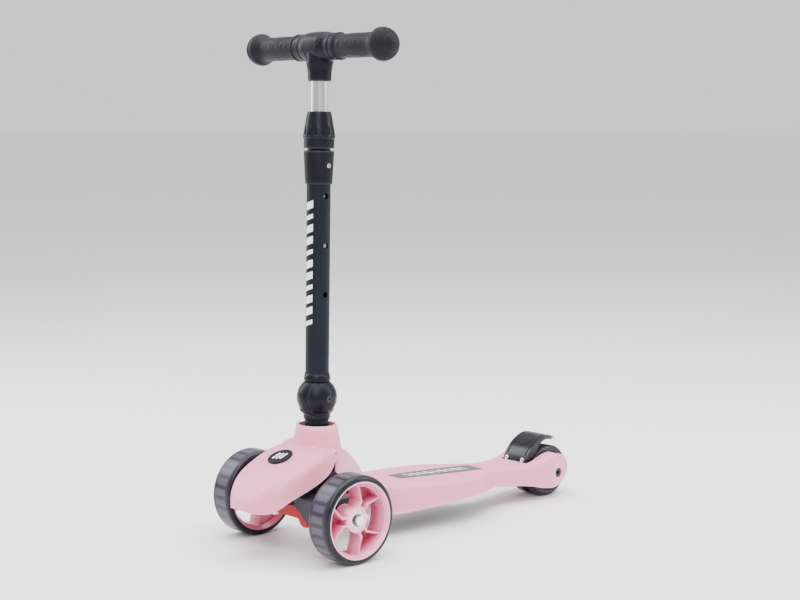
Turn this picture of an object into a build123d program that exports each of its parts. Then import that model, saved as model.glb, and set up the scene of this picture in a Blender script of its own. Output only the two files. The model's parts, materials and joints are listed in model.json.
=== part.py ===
"""Three-wheeled kick scooter for small children.

Two large front wheels on a lean-to-steer truck, a twin rear wheel with a foot brake, a moulded
deck, and a folding stem with a height-adjustable T-bar.  Millimetres, +Z up, the rider faces -Y.
The origin is on the floor, under the middle of the scooter's length.
"""
from build123d import *
import os
from math import cos, radians, sin

os.makedirs("parts", exist_ok=True)

# ---------------------------------------------------------------- driving dimensions
FRONT_AXLE_Y = -207.4        # puts the middle of the overall length at Y = 0
WHEEL_BASE = 480.0

FRONT_WHEEL_R = 60.0
FRONT_WHEEL_HALF = 19.5
FRONT_TRACK_HALF = 105.7
RIM_FLANGE_R = 52.2
RIM_SEAT_R = 49.8
RIM_BARREL_R = 46.8
FRONT_HUB_R = 17.0
FRONT_HUB_FACE = 12.5        # hub end, outwards from the wheel's middle
FRONT_HUB_BACK = -15.2
LUG_COUNT = 25
LUG_TOP_R = 55.4
LUG_WIDTH = 22.0

REAR_WHEEL_R = 40.0
REAR_WHEEL_HALF = 11.0
REAR_WHEEL_X = 13.6
REAR_RIM_R = 30.0
FORK_INNER_X = 27.5
FORK_OUTER_X = 44.5
FORK_THROAT = 424.0
FORK_RECESS_FLOOR_X = 38.0
FORK_RECESS_R = 7.75

AXLE_R = 4.0
BEARING_R = 11.0
BEARING_WIDTH = 7.0
RUNNING_CLEARANCE = 0.06
BODY_GAP = 0.3

COVER_WALL = 3.0
DECK_WALL = 3.5
RIB = 3.0

STEM_LEAN = 0.86             # degrees, leaning back
STEM_FOOT_Y = 25.95          # stem axis at floor level, behind the front axle
LOWER_TUBE_R = 16.65
OUTER_TUBE_R = 16.4
TUBE_BORE_R = 14.6
INNER_TUBE_R = 12.0
INNER_TUBE_BORE_R = 10.4
SOCKET_FLOOR = 84.0
FOLD_BALL_R = 27.85
FOLD_BALL_H = 206.5
FOLD_CHEEK_X = 12.0
HOLE_HEIGHTS = (348.7, 415.9, 482.6)
BUTTON_HEIGHT = HOLE_HEIGHTS[1]
HEIGHT_HOLE_R = 4.0
BUTTON_R = 3.6

BAR_H = 683.0
BAR_TUBE_R = 11.0
BAR_TUBE_BORE_R = 9.4
CROSSBAR_HALF = 128.0
GRIP_DOME_X = 126.6
GRIP_DOME_R = 22.3
GRIP_R = 16.6
GRIP_START_X = 40.0

KINGPIN_TILT = 45.0          # degrees above level, rising towards the nose
KINGPIN_Y = -14.0
KINGPIN_Z = 72.0
KINGPIN_R = 4.0
SADDLE_HALF = 13.1           # half the gap between the two kingpin lugs
BOSS_HALF = 12.0
LUG_END = 22.0
BRACKET_HALF = 17.0

CROSS_BOLT_Y = 25.0
CROSS_BOLT_Z = 96.0
CROSS_TUBE_R = 11.5
CROSS_TUBE_HALF = 33.0

BRAKE_PIN_Y = 431.0
BRAKE_PIN_Z = 50.0
BRAKE_PIN_R = 2.5
FENDER_HALF = 23.5
FENDER_R = 57.0
FENDER_WALL = 4.0


# ---------------------------------------------------------------- reference planes
def side_plane(x, behind=0.0, height=0.0):
    """Upright plane facing +X: local (behind, height) from a point given from the front axle."""
    return Plane(origin=(x, FRONT_AXLE_Y + behind, height), x_dir=(0, 1, 0), z_dir=(1, 0, 0))


def plan_plane(height):
    """Level plane: local (X, behind the front axle)."""
    return Plane(origin=(0, FRONT_AXLE_Y, height), x_dir=(1, 0, 0), z_dir=(0, 0, 1))


def cross_plane(behind):
    """Upright plane across the scooter, facing the nose: local (X, height)."""
    return Plane(origin=(0, FRONT_AXLE_Y + behind, 0), x_dir=(1, 0, 0), z_dir=(0, -1, 0))


def axle_section(x, behind, height):
    """Level plane through a cross axis: local (along X, radius)."""
    return Plane(origin=(x, FRONT_AXLE_Y + behind, height), x_dir=(1, 0, 0), z_dir=(0, 0, 1))


def cross_axis(behind, height):
    return Axis((0, FRONT_AXLE_Y + behind, height), (1, 0, 0))


stem_up = Vector(0, sin(radians(STEM_LEAN)), cos(radians(STEM_LEAN)))
stem_foot = Vector(0, FRONT_AXLE_Y + STEM_FOOT_Y, 0)
stem_axis = Axis(stem_foot, stem_up)
stem_section = Plane(origin=stem_foot, x_dir=(1, 0, 0), z_dir=Vector(1, 0, 0).cross(stem_up))


def stem_plane(height):
    """Plane square to the stem at a distance up its axis: local (X, behind)."""
    return Plane(origin=stem_foot + stem_up * height, x_dir=(1, 0, 0), z_dir=stem_up)


def stem_side_plane(x, height):
    """Plane facing +X with its origin beside the stem axis: local (behind, up the stem)."""
    origin = stem_foot + stem_up * height + Vector(x, 0, 0)
    return Plane(origin=origin, x_dir=Vector(0, stem_up.Z, -stem_up.Y), z_dir=(1, 0, 0))


kingpin_dir = Vector(0, -cos(radians(KINGPIN_TILT)), sin(radians(KINGPIN_TILT)))
kingpin_centre = Vector(0, FRONT_AXLE_Y + KINGPIN_Y, KINGPIN_Z)
kingpin_side = Plane(origin=kingpin_centre, x_dir=kingpin_dir, z_dir=(1, 0, 0))


def kingpin_plane(along):
    """Plane square to the kingpin at a distance along it from its middle."""
    return Plane(origin=kingpin_centre + kingpin_dir * along, x_dir=(1, 0, 0), z_dir=kingpin_dir)


front_axis = cross_axis(0, FRONT_WHEEL_R)
rear_axis = cross_axis(WHEEL_BASE, REAR_WHEEL_R)
bar_centre = stem_foot + stem_up * BAR_H
bar_axis = Axis(bar_centre, (1, 0, 0))
bar_section = Plane(origin=bar_centre, x_dir=(1, 0, 0), z_dir=Vector(1, 0, 0).cross(stem_up))


def save(piece, label):
    piece.part.label = label
    export_step(piece.part, f"parts/{label}.step")


# ---------------------------------------------------------------- deck
# stations along the deck: behind the front axle, half width, belly height, top height
DECK_STATIONS = (
    (98, 33, 34, 76.0),
    (112, 46, 34, 75.8),
    (150, 57, 34, 73.5),
    (200, 62.5, 36, 70.5),
    (255, 65, 38, 67.2),
    (290, 60, 38, 65.0),
    (320, 47.5, 37, 63.2),
    (350, 33.5, 35, 61.6),
    (372, 31, 33, 60.6),
    (396, 36, 30, 59.2),
    (424, 43, 26, 59.6),
    (436, FORK_OUTER_X, 23, 62.0),
    (450, FORK_OUTER_X, 20, 66.8),
    (466, FORK_OUTER_X, 18, 71.0),
    (485, FORK_OUTER_X, 17, 72.2),
    (504, FORK_OUTER_X, 16, 72.5),
)
DECK_EDGE_R = 7.0
DECK_SPACE = (101.5, 404.0)
DECK_NECK = (62.0, 101.5)
DECK_NECK_HALF = 29.0
DECK_NECK_TOP = 69.5
TONGUE_TOP = 58.0
TONGUE_BOTTOM = 50.0
PLATE_THICK = 3.0
PLATE_GAP = 0.2
PLATE_LINE = ((66, 35.5), (200, 38.2), (290, 38.2), (345, 34.4), (408, 27.8))
FORK_BACK = ((446, 86), (468, 72.6), (481, 69.6), (494.5, 62.8), (500.8, 52.0), (500.1, 40.5), (492.5, 27.0),
             (474, 19.0), (448, 18.0))
PLATE_SCREWS = [(x, y) for x in (-20, 20) for y in (137, 187.5, 237.5, 287.5)]
RIB_BEHIND = (162, 212, 262, 312, 362)
BOSS_R = 5.0
SCREW_R = 1.75


def deck_station(half, low, high):
    """Cross-section of the deck with round upper edges."""
    with BuildSketch() as outline:
        with BuildLine():
            FilletPolyline((half, low), (half, high), (-half, high), (-half, low), radius=DECK_EDGE_R)
            Line((-half, low), (half, low))
        make_face()
    return outline.sketch


def plate_side(lift):
    """Side outline of everything below a line that follows the base plate."""
    with BuildSketch() as outline:
        with BuildLine():
            Polyline(*[(a, z + lift) for a, z in PLATE_LINE], (408, -20), (66, -20), close=True)
        make_face()
    return outline.sketch


with BuildPart() as rib_grid:
    with BuildSketch(side_plane(0)):
        for behind in RIB_BEHIND:
            with Locations((behind, 50)):
                Rectangle(RIB, 100)
    extrude(amount=80, both=True)
    with BuildSketch(plan_plane(0)):
        with Locations((-20, 250), (20, 250)):
            Rectangle(RIB, 320)
        with Locations(*PLATE_SCREWS):
            Circle(BOSS_R)
    extrude(amount=100)
    with BuildSketch(side_plane(0)):
        add(plate_side(PLATE_THICK))
    extrude(amount=80, both=True, mode=Mode.SUBTRACT)

with BuildPart() as deck_space:
    for behind, half, low, high in DECK_STATIONS:
        with BuildSketch(cross_plane(behind)):
            add(deck_station(half - DECK_WALL, low - 14, high - DECK_WALL))
    loft()
    with BuildSketch(side_plane(0)):
        with Locations((sum(DECK_SPACE) / 2, 50)):
            Rectangle(DECK_SPACE[1] - DECK_SPACE[0], 100)
    extrude(amount=80, both=True, mode=Mode.INTERSECT)
    add(rib_grid.part, mode=Mode.SUBTRACT)

PANEL_MIDDLE = (257.0, 67.2)       # behind the front axle, height
PANEL_FALL = 3.47            # degrees, falling towards the back
PANEL_SEAT = 0.7
PANEL_PROUD = 0.3
PANEL_SIDE = ((14, -84), (17.2, -30), (18.4, 25), (16, 82))
panel_up = Vector(0, sin(radians(PANEL_FALL)), cos(radians(PANEL_FALL)))


def panel_plane(lift):
    """Plane of the deck's long flat panel: local (X, towards the back)."""
    origin = Vector(0, FRONT_AXLE_Y + PANEL_MIDDLE[0], PANEL_MIDDLE[1]) + panel_up * lift
    return Plane(origin=origin, x_dir=(1, 0, 0), z_dir=panel_up)


def panel_outline():
    """Long panel with gently bowed sides."""
    with BuildSketch() as outline:
        with BuildLine():
            Line((0, PANEL_SIDE[0][1]), PANEL_SIDE[0])
            Spline(*PANEL_SIDE)
            Line(PANEL_SIDE[-1], (0, PANEL_SIDE[-1][1]))
            mirror(about=Plane.YZ)
        make_face()
    return outline.sketch


with BuildPart() as deck_shell:
    for behind, half, low, high in DECK_STATIONS:
        with BuildSketch(cross_plane(behind)):
            add(deck_station(half, low, high))
    loft()
    add(deck_space.part, mode=Mode.SUBTRACT)
    # neck that runs forward under the head cover, open below for the head bracket's tongue
    with BuildSketch(side_plane(0)):
        with BuildLine():
            Polyline((DECK_NECK[0], 60), (DECK_NECK[0], DECK_NECK_TOP), (DECK_NECK[1], DECK_NECK_TOP),
                     (DECK_NECK[1], 34), (98, 34), (90, 60), close=True)
        make_face()
    extrude(amount=DECK_NECK_HALF, both=True)
    with BuildSketch(side_plane(0)):
        with Locations((90, TONGUE_TOP - 15)):
            Rectangle(60, 30)
    extrude(amount=BRACKET_HALF + BODY_GAP, both=True, mode=Mode.SUBTRACT)
    # wheel slot between the fork cheeks
    with BuildSketch(plan_plane(0)):
        with Locations((0, (FORK_THROAT + 520) / 2)):
            Rectangle(2 * FORK_INNER_X, 520 - FORK_THROAT)
    extrude(amount=100, mode=Mode.SUBTRACT)
    # round back of the fork cheeks
    with BuildSketch(side_plane(0)):
        with BuildLine():
            Spline(*FORK_BACK)
            Polyline(FORK_BACK[-1], (448, -10), (520, -10), (520, 86), FORK_BACK[0])
        make_face()
    extrude(amount=60, both=True, mode=Mode.SUBTRACT)
    # axle holes and their outer recesses
    with BuildSketch(side_plane(-60, WHEEL_BASE, REAR_WHEEL_R)):
        Circle(AXLE_R)
    extrude(amount=120, mode=Mode.SUBTRACT)
    for side in (-1, 1):
        with BuildSketch(side_plane(side * FORK_RECESS_FLOOR_X, WHEEL_BASE, REAR_WHEEL_R)):
            Circle(FORK_RECESS_R)
        extrude(amount=side * 20, mode=Mode.SUBTRACT)
    # brake pin seats in the cheeks, and the base plate's screw holes
    with BuildSketch(side_plane(-FORK_INNER_X - 6, BRAKE_PIN_Y, BRAKE_PIN_Z)):
        Circle(BRAKE_PIN_R)
    extrude(amount=2 * FORK_INNER_X + 12, mode=Mode.SUBTRACT)
    with BuildSketch(plan_plane(20)):
        with Locations(*PLATE_SCREWS):
            Circle(SCREW_R)
    extrude(amount=36, mode=Mode.SUBTRACT)
    # shallow seat for the grip panel
    with BuildSketch(panel_plane(-PANEL_SEAT)):
        add(panel_outline())
    extrude(amount=6, mode=Mode.SUBTRACT)
save(deck_shell, "deck_shell")

with BuildPart() as deck_panel:
    with BuildSketch(panel_plane(-PANEL_SEAT)):
        add(panel_outline())
    extrude(amount=PANEL_SEAT + PANEL_PROUD)
save(deck_panel, "deck_panel")

with BuildPart() as deck_base_plate:
    for behind, half, low, high in DECK_STATIONS:
        with BuildSketch(cross_plane(behind)):
            add(deck_station(half - DECK_WALL - PLATE_GAP, low - 14, high - DECK_WALL))
    loft()
    with BuildSketch(side_plane(0)):
        with BuildLine():
            Polyline(*[(a, z + PLATE_THICK) for a, z in PLATE_LINE], *reversed(PLATE_LINE), close=True)
        make_face()
    extrude(amount=80, both=True, mode=Mode.INTERSECT)
    with BuildSketch(side_plane(0)):
        with Locations((sum(DECK_SPACE) / 2, 50)):
            Rectangle(DECK_SPACE[1] - DECK_SPACE[0] - 2 * PLATE_GAP, 100)
    extrude(amount=80, both=True, mode=Mode.INTERSECT)
    with BuildSketch(plan_plane(20)):
        with Locations(*PLATE_SCREWS):
            Circle(SCREW_R)
    extrude(amount=36, mode=Mode.SUBTRACT)
save(deck_base_plate, "deck_base_plate")


def plate_height(behind):
    """Height of the base plate's lower face."""
    for (a0, z0), (a1, z1) in zip(PLATE_LINE, PLATE_LINE[1:]):
        if a0 <= behind <= a1:
            return z0 + (z1 - z0) * (behind - a0) / (a1 - a0)


with BuildPart() as base_plate_screws:
    for x, behind in PLATE_SCREWS:
        floor = plate_height(behind)
        with BuildSketch(plan_plane(floor - 0.1)):
            with Locations((x, behind)):
                Circle(SCREW_R - 0.02)
        extrude(amount=12)
        with BuildSketch(plan_plane(floor - 1.6)):
            with Locations((x, behind)):
                Circle(3.4)
        extrude(amount=1.5)
        with BuildSketch(plan_plane(floor - 1.6)):
            with Locations((x, behind)):
                Rectangle(4, 0.9)
        extrude(amount=0.7, mode=Mode.SUBTRACT)
save(base_plate_screws, "base_plate_screws")

# ---------------------------------------------------------------- head cover
# stations of the tongue: behind the front axle, half width, lower edge, edge height, crown height, shoulder radius
COVER_STATIONS = (
    (-105.0, 14, 70, 77.6, 79.0, 4.0),
    (-101.5, 24, 67.5, 83.1, 85.5, 7.0),
    (-94, 34, 67, 89.6, 93.0, 10.0),
    (-82, 44.5, 69.5, 100.6, 105.0, 13.0),
    (-65, 51.5, 79.5, 112.4, 117.5, 14.5),
    (-44, 54, 88, 122.6, 128.0, 14.5),
    (-20, 53.5, 96, 133.0, 138.5, 14.5),
    (2, 49, 103, 138.0, 144.0, 14.0),
    (20, 42.5, 112, 136.0, 144.5, 13.0),
    (38, 36, 124, 132.0, 140.5, 7.5),
)
COVER_BACK_HALF = 33.5
COVER_BACK = ((-4, 143.4), (20, 146.6), (38, 142.2), (50, 135), (62, 124.5), (74, 110.5), (84, 95), (91, 85),
              (97.5, 77.3))
COVER_BACK_LOW = ((97.5, 70.5), (66, 70.5), (44, 86), (36, 96), (15, 103), (-4, 100))
COLLAR_CONE = ((125.0, 30.0), (138.0, 34.2), (169.1, 27.6))
COLLAR_HOLE_R = 17.6
CAP_NOTCH_R = 13.4
BADGE_Y = -35.9
BADGE_Z = 131.8
BADGE_TILT = 21.3
BADGE_R = 17.7
BADGE_SEAT = 1.0
BADGE_PROUD = 0.9


def cover_station(half, low, edge, high, shoulder):
    """Cross-section of the cover's tongue: a low arch with round shoulders."""
    with BuildSketch() as outline:
        with BuildLine():
            FilletPolyline((half, low), (half, edge), (0, high), (-half, edge), (-half, low),
                           radius=(shoulder, 3 * shoulder, shoulder))
            Line((-half, low), (half, low))
        make_face()
    return outline.sketch


def cover_back_side(inset, drop):
    """Side outline of the cover's back half."""
    upper = [(a - inset * 0.7, z - inset * 0.9) for a, z in COVER_BACK]
    lower = [(a - inset * 0.7, z - drop) for a, z in COVER_BACK_LOW]
    with BuildSketch() as outline:
        with BuildLine():
            Spline(*upper)
            Polyline(upper[-1], *lower, upper[0])
        make_face()
    return outline.sketch


badge_up = Vector(0, -sin(radians(BADGE_TILT)), cos(radians(BADGE_TILT)))


def badge_plane(lift):
    origin = Vector(0, FRONT_AXLE_Y + BADGE_Y, BADGE_Z) + badge_up * lift
    return Plane(origin=origin, x_dir=(1, 0, 0), z_dir=badge_up)


with BuildPart() as cover_space:
    for behind, half, low, edge, high, shoulder in COVER_STATIONS[1:]:
        # the nose and the rear edge both keep a wall
        shift = -COVER_WALL if behind == COVER_STATIONS[-1][0] else COVER_WALL * 0.5
        with BuildSketch(cross_plane(behind + shift)):
            add(cover_station(half - COVER_WALL, low - 30, edge - COVER_WALL, high - COVER_WALL,
                              max(shoulder - COVER_WALL, 3)))
    loft()
    with BuildSketch(side_plane(0)):
        add(cover_back_side(COVER_WALL, 20))
    extrude(amount=COVER_BACK_HALF - COVER_WALL, both=True)
    for height, radius in COLLAR_CONE:
        with BuildSketch(stem_plane(height)):
            Circle(radius - COVER_WALL)
    loft(ruled=True)

with BuildPart() as head_cover:
    for behind, half, low, edge, high, shoulder in COVER_STATIONS:
        with BuildSketch(cross_plane(behind)):
            add(cover_station(half, low, edge, high, shoulder))
    loft()
    with BuildSketch(side_plane(0)):
        add(cover_back_side(0, 0))
    extrude(amount=COVER_BACK_HALF, both=True)
    for height, radius in COLLAR_CONE:
        with BuildSketch(stem_plane(height)):
            Circle(radius)
    loft(ruled=True)
    add(cover_space.part, mode=Mode.SUBTRACT)
    with BuildSketch(stem_plane(120)):
        Circle(COLLAR_HOLE_R)
    extrude(amount=60, mode=Mode.SUBTRACT)
    # notches for the cross-bolt caps
    with BuildSketch(side_plane(0)):
        with Locations((CROSS_BOLT_Y, CROSS_BOLT_Z)):
            Circle(CAP_NOTCH_R)
        with Locations((CROSS_BOLT_Y, CROSS_BOLT_Z - 20)):
            Rectangle(2 * CAP_NOTCH_R, 40)
    extrude(amount=60, both=True, mode=Mode.SUBTRACT)
    # seat for the badge
    with BuildSketch(badge_plane(-BADGE_SEAT)):
        Circle(BADGE_R)
    extrude(amount=10, mode=Mode.SUBTRACT)
save(head_cover, "head_cover")

with BuildPart() as cover_badge:
    with BuildSketch(badge_plane(-BADGE_SEAT)):
        Circle(BADGE_R)
    extrude(amount=BADGE_SEAT + BADGE_PROUD)
    fillet(cover_badge.faces().sort_by(Axis(badge_plane(0).origin, badge_up))[-1].edges(), 0.7)
save(cover_badge, "cover_badge")

with BuildPart() as badge_bars:
    with BuildSketch(badge_plane(BADGE_PROUD)):
        with Locations((-6, -1.5), (0, 0), (6, 1.5)):
            SlotOverall(15, 3.4, rotation=90)
    extrude(amount=0.4)
save(badge_bars, "badge_bars")

# ---------------------------------------------------------------- head bracket and lower stem
SOCKET_R = 21.0
SOCKET_LOW = 66.0
SOCKET_TOP = 120.0
LUG_REACH = 12.0             # bracket metal below the kingpin's axis
BRACKET_BACK = 33.0
TONGUE_BACK = 101.0
BRACKET_SCREWS = [(x, y) for x in (-9, 9) for y in (74, 88)]

with BuildPart() as head_bracket:
    with BuildSketch(kingpin_side):
        with BuildLine():
            Polyline((-LUG_END, LUG_REACH), (LUG_END, LUG_REACH), (LUG_END, -BRACKET_BACK),
                     (-LUG_END, -BRACKET_BACK), close=True)
        make_face()
    extrude(amount=BRACKET_HALF, both=True)
    with BuildSketch(side_plane(0)):
        with BuildLine():
            Polyline((14, TONGUE_BOTTOM), (TONGUE_BACK, TONGUE_BOTTOM), (TONGUE_BACK, TONGUE_TOP), (60, TONGUE_TOP),
                     (46, 84), (16, 84), close=True)
        make_face()
    extrude(amount=BRACKET_HALF, both=True)
    with BuildSketch(stem_plane(SOCKET_LOW)):
        Circle(SOCKET_R)
    extrude(amount=SOCKET_TOP - SOCKET_LOW)
    with BuildSketch(side_plane(-CROSS_TUBE_HALF, CROSS_BOLT_Y, CROSS_BOLT_Z)):
        Circle(CROSS_TUBE_R)
    extrude(amount=2 * CROSS_TUBE_HALF)
    with BuildSketch(stem_plane(SOCKET_FLOOR)):
        Circle(LOWER_TUBE_R)
    extrude(amount=60, mode=Mode.SUBTRACT)
    with BuildSketch(kingpin_side):
        with BuildLine():
            Polyline((-SADDLE_HALF, LUG_REACH + 1), (SADDLE_HALF, LUG_REACH + 1), (SADDLE_HALF, -19),
                     (-SADDLE_HALF, -19), close=True)
        make_face()
    extrude(amount=40, both=True, mode=Mode.SUBTRACT)
    with BuildSketch(kingpin_plane(-40)):
        Circle(KINGPIN_R)
    extrude(amount=80, mode=Mode.SUBTRACT)
    with BuildSketch(side_plane(-40, CROSS_BOLT_Y, CROSS_BOLT_Z)):
        Circle(AXLE_R)
    extrude(amount=80, mode=Mode.SUBTRACT)
    with BuildSketch(plan_plane(TONGUE_BOTTOM - 5)):
        with Locations(*BRACKET_SCREWS):
            Circle(2.5)
    extrude(amount=20, mode=Mode.SUBTRACT)
save(head_bracket, "head_bracket")

with BuildPart() as bracket_screws:
    with BuildSketch(plan_plane(TONGUE_BOTTOM)):
        with Locations(*BRACKET_SCREWS):
            Circle(2.48)
    extrude(amount=TONGUE_TOP - TONGUE_BOTTOM)
    with BuildSketch(plan_plane(TONGUE_BOTTOM)):
        with Locations(*BRACKET_SCREWS):
            Circle(4.5)
    extrude(amount=-3)
save(bracket_screws, "bracket_screws")

with BuildPart() as lower_stem_tube:
    with BuildSketch(stem_section):
        with BuildLine():
            Polyline((TUBE_BORE_R, SOCKET_FLOOR), (LOWER_TUBE_R, SOCKET_FLOOR), (LOWER_TUBE_R, 176),
                     (TUBE_BORE_R, 176), close=True)
        make_face()
    revolve(axis=stem_axis)
    with BuildSketch(side_plane(-40, CROSS_BOLT_Y, CROSS_BOLT_Z)):
        Circle(AXLE_R)
    extrude(amount=80, mode=Mode.SUBTRACT)
save(lower_stem_tube, "lower_stem_tube")

with BuildPart() as cross_bolt:
    with BuildSketch(side_plane(-CROSS_TUBE_HALF, CROSS_BOLT_Y, CROSS_BOLT_Z)):
        Circle(AXLE_R)
    extrude(amount=2 * CROSS_TUBE_HALF)
    for side in (-1, 1):
        with BuildSketch(side_plane(side * CROSS_TUBE_HALF, CROSS_BOLT_Y, CROSS_BOLT_Z)):
            RegularPolygon(6.8, 6)
        extrude(amount=side * 3.5)
save(cross_bolt, "cross_bolt")

with BuildPart() as cross_bolt_caps:
    for side in (-1, 1):
        with BuildSketch(side_plane(side * CROSS_TUBE_HALF, CROSS_BOLT_Y, CROSS_BOLT_Z)):
            Circle(CROSS_TUBE_R + 1)
        extrude(amount=side * 6)
        with BuildSketch(side_plane(side * CROSS_TUBE_HALF, CROSS_BOLT_Y, CROSS_BOLT_Z)):
            Circle(7.2)
        extrude(amount=side * 4, mode=Mode.SUBTRACT)
    fillet(cross_bolt_caps.faces().filter_by(lambda f: abs(f.center().X) > CROSS_TUBE_HALF + 5).edges(), 2)
save(cross_bolt_caps, "cross_bolt_caps")

with BuildPart() as kingpin_bolt:
    with BuildSketch(kingpin_plane(-LUG_END)):
        Circle(KINGPIN_R)
    extrude(amount=2 * LUG_END + 7)
    with BuildSketch(kingpin_plane(-LUG_END)):
        RegularPolygon(7.2, 6)
    extrude(amount=-4.5)
save(kingpin_bolt, "kingpin_bolt")

with BuildPart() as kingpin_nut:
    with BuildSketch(kingpin_plane(LUG_END)):
        RegularPolygon(7.2, 6)
        Circle(KINGPIN_R, mode=Mode.SUBTRACT)
    extrude(amount=5.5)
save(kingpin_nut, "kingpin_nut")

# ---------------------------------------------------------------- lean-to-steer truck
ARM_FRONT = -34.0
ARM_INNER_X = 27.0
ARM_END_X = 82.0
BOSS_R = 13.5
BUSH_R = 6.5
BUFFER_R = 6.0
BUFFER_X = 31.0
BUFFER_Y = 4.0
BUFFER_TOP = 89.0
AXLE_ROOT_X = 58.0
ARM_LOWER = ((ARM_INNER_X, 69.5), (31, 66), (40, 60), (46, 54), (52, 50), (66, 46), (ARM_END_X, 46))
ARM_UPPER = ((ARM_END_X, 73), (76, 79), (60, 80), (40, 81), (ARM_INNER_X, 85.5))
ARM_PLAN = ((20, ARM_FRONT), (66, ARM_FRONT), (ARM_END_X, -20), (ARM_END_X, 22), (76, 29), (58, 29), (46, 11.5),
            (20, 11.5))
PLATE_SCREW_X = 46.5
PLATE_SCREW_Y = -8.0

with BuildPart() as truck_beam:
    with BuildSketch(cross_plane(0)):
        for side in (-1, 1):
            with BuildLine():
                Polyline(*[(side * x, z) for x, z in ARM_LOWER + ARM_UPPER], close=True)
            make_face()
    extrude(amount=60, both=True)
    with BuildSketch(plan_plane(0)):
        for side in (-1, 1):
            with BuildLine():
                Polyline(*[(side * x, y) for x, y in ARM_PLAN], close=True)
            make_face()
    extrude(amount=120, mode=Mode.INTERSECT)
    with BuildSketch(kingpin_side):
        Rectangle(2 * BOSS_HALF, 2 * BOSS_HALF)
    extrude(amount=ARM_INNER_X + 3, both=True)
    with BuildSketch(kingpin_plane(-BOSS_HALF)):
        Circle(BOSS_R)
    extrude(amount=2 * BOSS_HALF)
    with BuildSketch(kingpin_plane(-BOSS_HALF)):
        Circle(BUSH_R)
    extrude(amount=2 * BOSS_HALF, mode=Mode.SUBTRACT)
    for side in (-1, 1):
        with BuildSketch(side_plane(side * ARM_END_X, 0, FRONT_WHEEL_R)):
            Circle(AXLE_R)
        extrude(amount=-side * (ARM_END_X - AXLE_ROOT_X), mode=Mode.SUBTRACT)
    with BuildSketch(plan_plane(78)):
        with Locations((-BUFFER_X, BUFFER_Y), (BUFFER_X, BUFFER_Y)):
            Circle(BUFFER_R)
    extrude(amount=20, mode=Mode.SUBTRACT)
    with BuildSketch(plan_plane(40)):
        with Locations((-PLATE_SCREW_X, PLATE_SCREW_Y), (PLATE_SCREW_X, PLATE_SCREW_Y)):
            Circle(2.5)
    extrude(amount=26, mode=Mode.SUBTRACT)
save(truck_beam, "truck_beam")

with BuildPart() as lean_buffers:
    with BuildSketch(plan_plane(78)):
        with Locations((-BUFFER_X, BUFFER_Y), (BUFFER_X, BUFFER_Y)):
            Circle(BUFFER_R)
    extrude(amount=BUFFER_TOP - 78)
save(lean_buffers, "lean_buffers")

with BuildPart() as kingpin_bushes:
    for side in (-1, 1):
        with BuildSketch(kingpin_plane(side * 0.5)):
            Circle(BUSH_R)
            Circle(KINGPIN_R + RUNNING_CLEARANCE, mode=Mode.SUBTRACT)
        extrude(amount=side * (BOSS_HALF - 0.5))
        with BuildSketch(kingpin_plane(side * BOSS_HALF)):
            Circle(10)
            Circle(KINGPIN_R + RUNNING_CLEARANCE, mode=Mode.SUBTRACT)
        extrude(amount=side * 0.8)
save(kingpin_bushes, "kingpin_bushes")

FOOT_OUTLINE = ((44, 42), (52, 42), (54, 44), (54, 49.3), (52, 50), (46, 54), (40, 60), (38, 46))
RED_OUTLINE = ((0, 52), (33, 52), (36, 50.5), (39, 45), (44, 42), (52, 42), (54, 44), (54, 49.3), (52, 50), (46, 54),
               (40, 60), (31, 66), (27, 68), (0, 67))
RED_FRONT = -33.0
RED_THICK = 5.0
FOOT_BACK = 8.0

with BuildPart() as truck_lower_plate:
    for side in (-1, 1):
        with BuildSketch(cross_plane(RED_FRONT)):
            with BuildLine():
                Polyline(*[(side * x, z) for x, z in RED_OUTLINE], close=True)
            make_face()
        extrude(amount=-RED_THICK)
        with BuildSketch(cross_plane(RED_FRONT)):
            with BuildLine():
                Polyline(*[(side * x, z) for x, z in FOOT_OUTLINE], close=True)
            make_face()
        extrude(amount=RED_FRONT - FOOT_BACK)
    with BuildSketch(plan_plane(30)):
        with Locations((-PLATE_SCREW_X, PLATE_SCREW_Y), (PLATE_SCREW_X, PLATE_SCREW_Y)):
            Circle(2.5)
    extrude(amount=36, mode=Mode.SUBTRACT)
save(truck_lower_plate, "truck_lower_plate")

with BuildPart() as lower_plate_screws:
    with BuildSketch(plan_plane(42)):
        with Locations((-PLATE_SCREW_X, PLATE_SCREW_Y), (PLATE_SCREW_X, PLATE_SCREW_Y)):
            Circle(2.5)
    extrude(amount=24)
    with BuildSketch(plan_plane(42)):
        with Locations((-PLATE_SCREW_X, PLATE_SCREW_Y), (PLATE_SCREW_X, PLATE_SCREW_Y)):
            Circle(4.4)
    extrude(amount=-2.6)
save(lower_plate_screws, "lower_plate_screws")

# ---------------------------------------------------------------- front axles and wheels
INNER_BEARING_X = FRONT_TRACK_HALF + FRONT_HUB_BACK
OUTER_BEARING_X = FRONT_TRACK_HALF + FRONT_HUB_FACE - BEARING_WIDTH

with BuildPart() as front_axle_bolts:
    for side in (-1, 1):
        with BuildSketch(side_plane(side * AXLE_ROOT_X, 0, FRONT_WHEEL_R)):
            Circle(AXLE_R)
        extrude(amount=side * (OUTER_BEARING_X + BEARING_WIDTH + BODY_GAP - AXLE_ROOT_X))
        with BuildSketch(side_plane(side * (OUTER_BEARING_X + BEARING_WIDTH + BODY_GAP), 0, FRONT_WHEEL_R)):
            RegularPolygon(6.6, 6)
        extrude(amount=side * 5)
save(front_axle_bolts, "front_axle_bolts")

with BuildPart() as front_axle_spacers:
    for side in (-1, 1):
        with BuildSketch(side_plane(side * ARM_END_X, 0, FRONT_WHEEL_R)):
            Circle(AXLE_R + 2.5)
            Circle(AXLE_R, mode=Mode.SUBTRACT)
        extrude(amount=side * (INNER_BEARING_X - BODY_GAP - ARM_END_X))
save(front_axle_spacers, "front_axle_spacers")

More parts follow.
